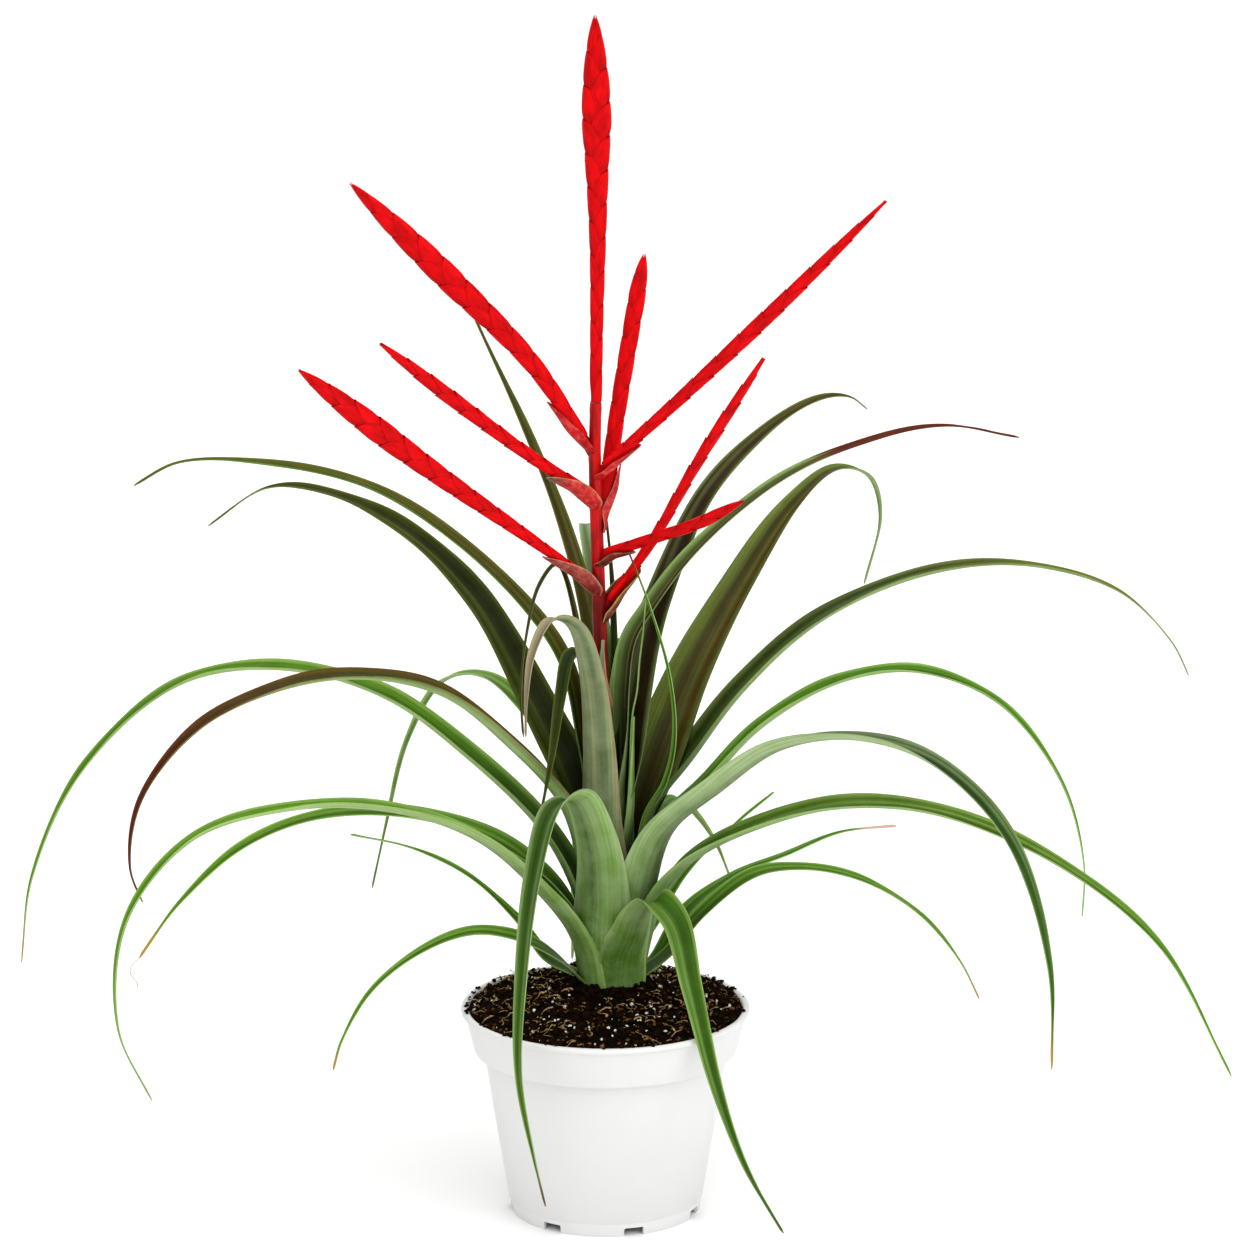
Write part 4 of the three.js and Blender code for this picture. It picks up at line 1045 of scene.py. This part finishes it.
# What the soil is made of: two colours for each, and the size of the grains that break them up.
# Damp peat is almost black; its crumbs are browner, and dried ones the colour of cocoa. Bark is
# bleached by weather, fibres are dark to straw, perlite is chalk white, and a dead leaf tip grey.
SOIL_STUFF = {
    "damp_dark_peat": ("#020100", "#100702", 2.38),
    "peat_crumb": ("#040200", "#241204", 3.33),
    "light_peat_crumb": ("#3a2410", "#86623a", 3.33),
    "weathered_bark": ("#2a180a", "#8c6638", 3.33),
    "dry_fibre": ("#382410", "#dcb880", 2.0),
    "perlite_grain": ("#e4ded0", "#fbf9f2", 1.67),
    "dead_leaf_fibre": ("#a89c80", "#cfc6b0", 3.33),
}


def soil_material(name):
    """Peat mix and what lies in it: matt and crumbly, its colour broken by grains."""
    low, high, grain = SOIL_STUFF[name]
    material, tree = new_material(name)
    grains = patches(tree, grain, 6.0, 0.7)
    base = giving_way(tree, linear(low), linear(high), grains, 0.35, 0.65)
    finish_material(tree, base, grains, 0.8, 1.2, Roughness=0.92, IOR=1.4,
                    Specular_IOR_Level=0.06)
    return material


# Stem: rings in the soil and above it, and the closed scars of its bracts, which ring the stalk
# above a height at even steps, each with a height and a breadth.
RINGS_IN_SOIL = 4
RINGS_ABOVE = 96
SCARS_FROM_Z = 235
SCAR_STEP = 26
SCAR_HEIGHT = 0.22
SCAR_BREADTH = 1.6


def stem_piece(material):
    """The short thick crown and the slim stalk above it, ringed by closed bract scars."""
    heights = np.concatenate([np.linspace(STEM_FOOT_Z, SOIL_LINE, RINGS_IN_SOIL),
                              np.linspace(SOIL_LINE + 3, STEM_TOP_Z - 0.2, RINGS_ABOVE)])
    rings = []
    for z in heights:
        radius = float(crown_radius(max(z, SOIL_LINE))) - max(0, SOIL_LINE - z) * 0.12
        if z > SCARS_FROM_Z:
            from_scar = z % SCAR_STEP - SCAR_STEP / 2
            radius += SCAR_HEIGHT * math.exp(-(from_scar / SCAR_BREADTH) ** 2)
        rings.append((radius, float(z)))
    piece = rings_piece("flower_stalk", rings, 24, lambda z: tuple(stem_centre(z)[:2]))
    smooth_by_angle(piece, 60)
    piece.data.materials.append(material)
    return piece


def bract_colours(spike):
    """Colours over a bract: from its foot to its tip, with its margin."""
    foot, middle, tip, margin = colours_of(BRACT_TONES[spike.name])

    def paint(share, place):
        colour = mix(foot, middle, smooth(0.05, 0.45, share)[..., None])
        colour = mix(colour, tip, smooth(0.6, 0.95, share)[..., None])
        colour = mix(colour, margin, (0.8 * smooth(0.88, 0.98, np.abs(place)))[..., None])
        return {"bract_colour": colour}

    return paint


# A stalk bract starts nearer the stalk than a leaf does, and stands off the spike in it.
BRACT_NEARER = 0.8
BRACT_OFF_SPIKE = 1.5


def bract_piece(spike, material):
    """The boat-shaped bract that clasps the stalk and cups the root of a side spike."""
    out, path, deep, wide = spike_frame(spike)
    length, width, drop = spike.bract
    knots = [beside_stem(out, spike.path[0][1] - drop, -BRACT_NEARER)]
    for step in (0.3, 0.65, 1):
        share = step * length / path.length
        half = float(spike_half(share, spike.width, spike.widest, spike.root))
        knots.append(path.at(share)[0] - wide * (half + BRACT_OFF_SPIKE))
    blade = {"width": width, "fold": 125, "twist": 0, "tip_turn": 0, "taper": 0.45, "clasp": 0,
             "wrap": 1.4, "fullest": 2.3, "sheathed": 13, "steady": 1}
    return blade_piece(spike.name.replace("spike", "bract"), knots, deep, blade,
                       STALK_BRACT_THICKNESS, *STALK_BRACT_GRID, material, material,
                       bract_colours(spike))


# Pot: radius and height of its profile, from the underside of its floor round to the inside.
POT_PROFILE = (
    (47.8, 5), (48.2, 0.5), (48.7, 0), (49.6, 0), (50, 0.5), (50.4, 7), (51.5, 8), (64, 86),
    (67.9, 87.4), (69.2, 88.2), (69.5, 89), (74, 107.8), (75.2, 108), (75.8, 108.5), (76, 109.4),
    (75.8, 110.2), (75.2, 110.8), (74.2, 111), (73, 110.9), (72.2, 110.2), (67.8, 89.6),
    (62.2, 86), (49.8, 6.8),
)
POT_SIDES = 192
# Cutters for the notches in the foot and the drain holes: how far out and how high each stands,
# and its size outwards, sideways and upwards.
POT_CUTTERS = ((49, 1.1, (14, 10.6, 6.6)), (42.2, 6, (7, 9, 6)))
NOTCHES = 7
FIRST_NOTCH = 236


def pot_piece(material):
    """The pot: turned profile, floor, notches round the foot and drain holes."""
    piece = rings_piece("nursery_pot", POT_PROFILE, POT_SIDES)
    for index in range(NOTCHES):
        turn = math.radians(FIRST_NOTCH + index * 360 / NOTCHES)
        for reach, z, size in POT_CUTTERS:
            select()
            place = (reach * math.cos(turn) * MM, reach * math.sin(turn) * MM, z * MM)
            bpy.ops.mesh.primitive_cube_add(size=1, location=place, rotation=(0, 0, turn),
                                            scale=[side * MM for side in size])
            cutter = bpy.context.object
            bpy.ops.object.transform_apply(location=False, rotation=False, scale=True)
            give_modifier(cutter, "BEVEL", width=0.8 * MM, segments=3)
            give_modifier(piece, "BOOLEAN", operation="DIFFERENCE", solver="EXACT", object=cutter)
            bpy.data.objects.remove(cutter, do_unlink=True)
    smooth_by_angle(piece, 40)
    piece.data.materials.append(material)
    return piece


# Soil: the heights of its edge and of the pot's rim, its radius, and the hole for the stem. It
# heaps up in the middle, and again round the leaves' feet between two distances from the stem.
SOIL_EDGE_Z = 109.7
RIM_Z = 111.2
SOIL_EDGE = 71.7
HOLE_RADIUS = 15.2
HOLE_FLOOR_Z = 87.6
SOIL_HEAP = 7.5
FEET_HEAP = 5.5
FEET_HEAP_ENDS = (34, 17)
# Lumps of the soil: breadth, height and layer of the noise.
SOIL_LUMPS = ((11, 1.5, 3.1), (4, 0.9, 8.7), (1.7, 0.45, 5.2))
# Radius and height of the soil's side, a little inside the pot's, down to its floor.
SOIL_SIDE = ((67.2, 90.4), (61.6, 86.8), (49.3, 7.4), (0.0, 7.4))
SOIL_SIDES = 168
SOIL_RINGS = 44


def soil_height(x, y):
    """Height of the soil's lumpy surface at places in millimetres."""
    share = np.clip(np.hypot(x - PLANT_X * 0.5, y - PLANT_Y * 0.5) / SOIL_EDGE, 0, 1)
    lumps = np.array([sum(noise.noise(Vector((a / breadth, b / breadth, layer))) * height
                          for breadth, height, layer in SOIL_LUMPS)
                      for a, b in zip(np.ravel(x), np.ravel(y))]).reshape(np.shape(x))
    feet = FEET_HEAP * smooth(*FEET_HEAP_ENDS, np.hypot(x - PLANT_X, y - PLANT_Y))
    return (SOIL_EDGE_Z + SOIL_HEAP * (1 - share ** 2.2) + feet
            + lumps * (1 - 0.5 * smooth(0.9, 1, share)))


def soil_piece(material):
    """The soil's body: lumpy top with a hole for the stem, and walls inside the pot."""
    share = np.linspace(0, 1, SOIL_RINGS)
    radius = mix(HOLE_RADIUS, SOIL_EDGE, share)
    angle = np.linspace(0, 2 * math.pi, SOIL_SIDES + 1)

    def ring(reach, z, x=0, y=0):
        return np.stack([x + reach * np.cos(angle), y + reach * np.sin(angle),
                         np.full_like(angle, z)], -1)[None]

    x = PLANT_X * (1 - share)[:, None] + radius[:, None] * np.cos(angle)
    y = PLANT_Y * (1 - share)[:, None] + radius[:, None] * np.sin(angle)
    hole = [ring(reach, HOLE_FLOOR_Z, PLANT_X, PLANT_Y) for reach in (0.0, HOLE_RADIUS)]
    top = np.stack([x, y, soil_height(x, y)], -1)
    points = np.vstack(hole + [top] + [ring(reach, z) for reach, z in SOIL_SIDE])
    piece = sheet_grid("peat_soil", SOIL_SIDES, len(points) - 1)
    set_points(piece, points)
    select(piece)
    bpy.ops.object.mode_set(mode="EDIT")
    bpy.ops.mesh.select_all(action="SELECT")
    bpy.ops.mesh.remove_doubles(threshold=0.01 * MM)
    bpy.ops.mesh.normals_make_consistent(inside=False)
    bpy.ops.object.mode_set(mode="OBJECT")
    smooth_by_angle(piece, 60)
    piece.data.materials.append(material)
    return piece


def crumb_shape(subdivisions=1):
    """A small faceted grain one across."""
    select()
    bpy.ops.mesh.primitive_ico_sphere_add(subdivisions=subdivisions, radius=0.5)
    return bpy.context.object


def perlite_shape():
    """A rounder grain one across."""
    return crumb_shape(2)


# A fibre one long: its radius, where it is cut to bend, and how far it arches and winds.
FIBRE_RADIUS = 0.026
FIBRE_CUTS = (-0.3, -0.1, 0.1, 0.3)
FIBRE_ARCH = 0.4
FIBRE_WIND = 0.22


def fibre_shape():
    """A short bent fibre: a thin bar one long."""
    select()
    bpy.ops.mesh.primitive_cylinder_add(vertices=5, radius=FIBRE_RADIUS, depth=1,
                                        end_fill_type="TRIFAN", rotation=(0, math.pi / 2, 0))
    piece = bpy.context.object
    bpy.ops.object.transform_apply(location=True, rotation=True, scale=True)
    bpy.ops.object.mode_set(mode="EDIT")
    for place in FIBRE_CUTS:
        bpy.ops.mesh.select_all(action="SELECT")
        bpy.ops.mesh.bisect(plane_co=(place, 0, 0), plane_no=(1, 0, 0))
    bpy.ops.mesh.select_all(action="SELECT")
    bpy.ops.mesh.quads_convert_to_tris()
    bpy.ops.object.mode_set(mode="OBJECT")
    for vertex in piece.data.vertices:
        vertex.co.z += FIBRE_ARCH * (0.25 - vertex.co.x ** 2)
        vertex.co.y += FIBRE_WIND * math.sin(6 * vertex.co.x)
    return piece


@dataclass
class Grains:
    """Loose grains: shape, stuff, seed, least and greatest size, and height by breadth.

    They lie between two shares of the soil's area round a centre, raised by a lift. Where a row has
    no count, the user's count holds. Past the soil's edge they lie on the pot's rim.
    """

    name: str
    shape: object
    stuff: str
    seed: int
    sizes: tuple
    flat: float
    count: int = 0
    ring: tuple = (0.06, 0.98)
    centre: tuple = (0, 0)
    lift: float = 0.0


GRAINS = (
    Grains("peat_crumbs", crumb_shape, "peat_crumb", 5, (0.9, 4.8), 0.75),
    Grains("light_crumbs", crumb_shape, "light_peat_crumb", 31, (0.6, 2.2), 0.7, 360, lift=0.8),
    Grains("foot_crumbs", crumb_shape, "peat_crumb", 41, (1.6, 4.8), 0.8, 110, (0.06, 0.13),
           (PLANT_X, PLANT_Y)),
    Grains("rim_crumbs", crumb_shape, "peat_crumb", 9, (0.9, 3.4), 0.6, 130, (0.95, 1.07)),
    Grains("bark_chips", crumb_shape, "weathered_bark", 11, (1.2, 4), 0.35, 150),
    Grains("loose_fibres", fibre_shape, "dry_fibre", 17, (2, 7), 1.3, lift=0.9),
    Grains("perlite", perlite_shape, "perlite_grain", 23, (0.7, 2.1), 0.8, lift=0.9),
)
# A grain that would lie in the stem's hole moves out by a factor. Grains tilt both ways, in radians,
# their corners are uneven, and they stand out of the soil by a share of their height.
OUT_OF_HOLE = 1.6
MOST_TILT = 0.7
UNEVEN = 0.6
STANDS_OUT = 0.2


def scattered(grains, count, material):
    """Copies of a small shape laid at random on the soil."""
    random = np.random.default_rng(grains.seed)
    shape = grains.shape()
    base = np.array([v.co for v in shape.data.vertices])
    faces = np.array([list(p.vertices) for p in shape.data.polygons])
    bpy.data.objects.remove(shape, do_unlink=True)
    points, quads = [], []
    for index in range(count):
        radius = SOIL_EDGE * math.sqrt(random.uniform(*grains.ring))
        angle = random.uniform(0, 2 * math.pi)
        x = grains.centre[0] + radius * math.cos(angle)
        y = grains.centre[1] + radius * math.sin(angle)
        if math.hypot(x - PLANT_X, y - PLANT_Y) < HOLE_RADIUS + 1:
            x, y = x * OUT_OF_HOLE, y * OUT_OF_HOLE
        size = random.uniform(*grains.sizes)
        stretch = size * np.array([1, random.uniform(0.5, 1),
                                   grains.flat * random.uniform(0.7, 1.2)])
        turn = random.uniform(0, 2 * math.pi)
        tilt = random.uniform(-MOST_TILT, MOST_TILT)
        c, s = math.cos(turn), math.sin(turn)
        ct, st = math.cos(tilt), math.sin(tilt)
        spin = np.array([[c, -s, 0], [s, c, 0], [0, 0, 1]]) @ np.array(
            [[ct, 0, st], [0, 1, 0], [-st, 0, ct]])
        jitter = 1 + UNEVEN * (random.random(len(base)) - 0.5)
        ground = float(soil_height(np.array(x), np.array(y))) if radius < SOIL_EDGE else RIM_Z
        z = ground + STANDS_OUT * size * grains.flat + grains.lift
        points.append((base * jitter[:, None] * stretch) @ spin.T + (x, y, z))
        quads.append(faces + index * len(base))
    piece = loose_mesh(grains.name, np.vstack(points), np.vstack(quads).tolist())
    piece.data.materials.append(material)
    return piece


# The tool's sizes and colours.


class BromeliadPotSettings(bpy.types.PropertyGroup):
    """What a user may change on the pot."""

    colour: bpy.props.FloatVectorProperty(
        name="Colour", description="Colour of the moulded plastic", subtype="COLOR", size=4,
        min=0, max=1, default=linear("#e2e2e1"))


class BromeliadSoilSettings(bpy.types.PropertyGroup):
    """What a user may change on the soil."""

    peat_crumbs: bpy.props.IntProperty(
        name="Crumbs", description="Grains of peat on the surface", default=1500, min=1, max=4000)
    loose_fibres: bpy.props.IntProperty(
        name="Fibres", description="Loose fibres on the surface", default=300, min=1, max=1000)
    perlite: bpy.props.IntProperty(
        name="Perlite", description="White grains among the peat", default=110, min=1, max=400)


class BromeliadLeafSettings(bpy.types.PropertyGroup):
    """What a user may change on the leaves."""

    thickness: bpy.props.FloatProperty(
        name="Thickness", description="Thickness of a blade along its middle", default=0.8 * MM,
        min=0.3 * MM, max=2 * MM, subtype="DISTANCE", unit="LENGTH")
    bloom: bpy.props.FloatProperty(
        name="Bloom", description="Strength of the grey dusting on the undersides", default=0.3,
        min=0, max=1, subtype="FACTOR")


class BromeliadSpikeSettings(bpy.types.PropertyGroup):
    """What a user may change on the flower spikes."""

    bract_pitch: bpy.props.FloatProperty(
        name="Bract pitch", description="Distance between bracts along one edge of a spike",
        default=17 * MM, min=8 * MM, max=40 * MM, subtype="DISTANCE", unit="LENGTH")


class BromeliadStageSettings(bpy.types.PropertyGroup):
    """What a user may change on the stage."""

    key_power: bpy.props.FloatProperty(
        name="Key light", description="Strength of the soft light above the front", default=2.0,
        min=0, max=20)
    sky: bpy.props.FloatProperty(
        name="Surround", description="Strength of the even light all round", default=0.6,
        min=0, max=5)


# The photograph's view and the point that the lights face, in metres, and the tilt in degrees.
CAMERA_PLACE = (0.0113, -2.860, 1.029)
CAMERA_TILT = 76
LIGHTS_FACE = Vector((0, 0, 0.25))


class BROMELIAD_OT_stage(bpy.types.Operator):
    """Add the camera, the pale floor and the soft studio lights"""

    bl_idname = "bromeliad.stage"
    bl_label = "Stage"

    def execute(self, context):
        scene = context.scene
        settings = scene.bromeliad_stage
        camera_data = bpy.data.cameras.new("camera")
        assign(camera_data, {"lens": 163.55, "sensor_width": 36, "clip_end": 100})
        camera = bpy.data.objects.new("camera", camera_data)
        camera.location = CAMERA_PLACE
        camera.rotation_euler = (math.radians(CAMERA_TILT), 0, 0)
        scene.collection.objects.link(camera)
        scene.camera = camera

        select()
        bpy.ops.mesh.primitive_plane_add(size=60, location=(0, 0, 0))
        floor = named("floor")
        material, tree = new_material("white_paper_sweep")
        cloud = patches(tree, 333)
        colour = giving_way(tree, linear("#f8f8f7"), linear("#fafafa"), cloud, 0.3, 0.7)
        finish_material(tree, colour, cloud, 0.02, 0.1, Roughness=0.9)
        floor.data.materials.append(material)

        for name, kind, place, qualities in (
                ("key_light", "SUN", (0.3, -1.0, 2.2),
                 {"angle": math.radians(95), "energy": settings.key_power}),
                ("fill_light", "AREA", (1.9, -1.2, 1.2), {"size": 1.5, "energy": 9}),
                ("rim_light", "AREA", (-0.4, 1.8, 1.9), {"size": 1.5, "energy": 12})):
            data = bpy.data.lights.new(name, kind)
            assign(data, qualities)
            light = bpy.data.objects.new(name, data)
            light.location = place
            way = LIGHTS_FACE - Vector(place)
            light.rotation_euler = way.to_track_quat("-Z", "Y").to_euler()
            scene.collection.objects.link(light)
        world = bpy.data.worlds.new("even_studio_light")
        world.use_nodes = True
        background = world.node_tree.nodes["Background"]
        background.inputs["Color"].default_value = (1, 1, 1, 1)
        background.inputs["Strength"].default_value = settings.sky
        scene.world = world
        scene.view_settings.view_transform = "Standard"
        return {"FINISHED"}


class BROMELIAD_OT_pot(bpy.types.Operator):
    """Add the white nursery pot"""

    bl_idname = "bromeliad.pot"
    bl_label = "Pot"

    def execute(self, context):
        pot = pot_piece(pot_material(tuple(context.scene.bromeliad_pot.colour)))
        ride(pot, "pot_plastic", "pot")
        return {"FINISHED"}


class BROMELIAD_OT_soil(bpy.types.Operator):
    """Add the soil with its crumbs, fibres and perlite"""

    bl_idname = "bromeliad.soil"
    bl_label = "Soil"

    def execute(self, context):
        settings = context.scene.bromeliad_soil
        ride(soil_piece(soil_material("damp_dark_peat")), "peat_soil", "soil")
        materials = {}
        for grains in GRAINS:
            if grains.stuff not in materials:
                materials[grains.stuff] = soil_material(grains.stuff)
            count = grains.count or getattr(settings, grains.name)
            ride(scattered(grains, count, materials[grains.stuff]), "peat_soil")
        return {"FINISHED"}


class BROMELIAD_OT_leaves(bpy.types.Operator):
    """Add the rosette of leaves"""

    bl_idname = "bromeliad.leaves"
    bl_label = "Leaves"

    def execute(self, context):
        bloom = context.scene.bromeliad_leaves.bloom
        materials = (leaf_material("bromeliad_leaf_face", "face_colour", bloom * 0.06),
                     leaf_material("bromeliad_leaf_underside", "under_colour", bloom))
        for leaf in LEAVES:
            ride(leaf_piece(leaf, materials), LEAF_SLOTS[leaf.tone], leaf.name)
            if leaf.name == HAIR_LEAF:
                ride(tip_hair(leaf), LEAF_SLOTS[leaf.tone])
        return {"FINISHED"}


class BROMELIAD_OT_stalk(bpy.types.Operator):
    """Add the flower stalk and its bracts"""

    bl_idname = "bromeliad.stalk"
    bl_label = "Stalk"

    def execute(self, context):
        ride(stem_piece(stalk_material()), "flower_stalk", "stem")
        papery = scurfy_material()
        for spike in SIDE_SPIKES:
            ride(bract_piece(spike, papery), "stalk_bract", spike.name.replace("spike", "bract"))
        return {"FINISHED"}


class BROMELIAD_OT_spikes(bpy.types.Operator):
    """Add the flattened red flower spikes"""

    bl_idname = "bromeliad.spikes"
    bl_label = "Flower spikes"

    def execute(self, context):
        scarlet = spike_material()
        for spike in SIDE_SPIKES:
            out, path, deep, wide = spike_frame(spike)
            shape = (path, deep, wide, (spike.width, spike.widest, spike.root))
            root = stem_centre(spike.path[0][1] - ROOT_DROP) + out
            ride(full_spike(spike.name, shape, scarlet, root), "flower_spike", spike.name)
        path = Path([(x, PLANT_Y, z) for x, z in TOP_SPIKE_LINE])
        front, right = np.array([0.0, -1.0, 0.0]), np.array([1.0, 0.0, 0.0])
        shape = (path, front, right, TOP_SPIKE_OUTLINE)
        ride(full_spike("spike_top", shape, scarlet), "flower_spike", "spike_top")
        return {"FINISHED"}


class BROMELIAD_PT_panel(bpy.types.Panel):
    """Sizes, colours and steps of the potted bromeliad"""

    bl_idname = "BROMELIAD_PT_panel"
    bl_label = "Potted bromeliad"
    bl_space_type = "VIEW_3D"
    bl_region_type = "UI"
    bl_category = "Bromeliad"

    def draw(self, context):
        for name, group in SETTINGS.items():
            for setting in group.__annotations__:
                self.layout.prop(getattr(context.scene, name), setting)
        for operator in OPERATORS:
            self.layout.operator(operator.bl_idname)


SETTINGS = {"bromeliad_stage": BromeliadStageSettings, "bromeliad_pot": BromeliadPotSettings,
            "bromeliad_soil": BromeliadSoilSettings, "bromeliad_leaves": BromeliadLeafSettings,
            "bromeliad_spikes": BromeliadSpikeSettings}
OPERATORS = (BROMELIAD_OT_stage, BROMELIAD_OT_pot, BROMELIAD_OT_soil, BROMELIAD_OT_stalk,
             BROMELIAD_OT_leaves, BROMELIAD_OT_spikes)


def register():
    """Registers the settings, the operators and the panel."""
    for name, group in SETTINGS.items():
        bpy.utils.register_class(group)
        setattr(bpy.types.Scene, name, bpy.props.PointerProperty(type=group))
    for item in OPERATORS + (BROMELIAD_PT_panel,):
        bpy.utils.register_class(item)


def unregister():
    """Takes them out again."""
    for item in reversed(OPERATORS + (BROMELIAD_PT_panel,)):
        bpy.utils.unregister_class(item)
    for name, group in SETTINGS.items():
        delattr(bpy.types.Scene, name)
        bpy.utils.unregister_class(group)


def main():
    """Builds the plant."""
    register()
    bpy.ops.bromeliad.stage()
    bpy.ops.bromeliad.pot()
    bpy.ops.bromeliad.soil()
    bpy.ops.bromeliad.stalk()
    bpy.ops.bromeliad.leaves()
    bpy.ops.bromeliad.spikes()


if __name__ == "__main__":
    main()
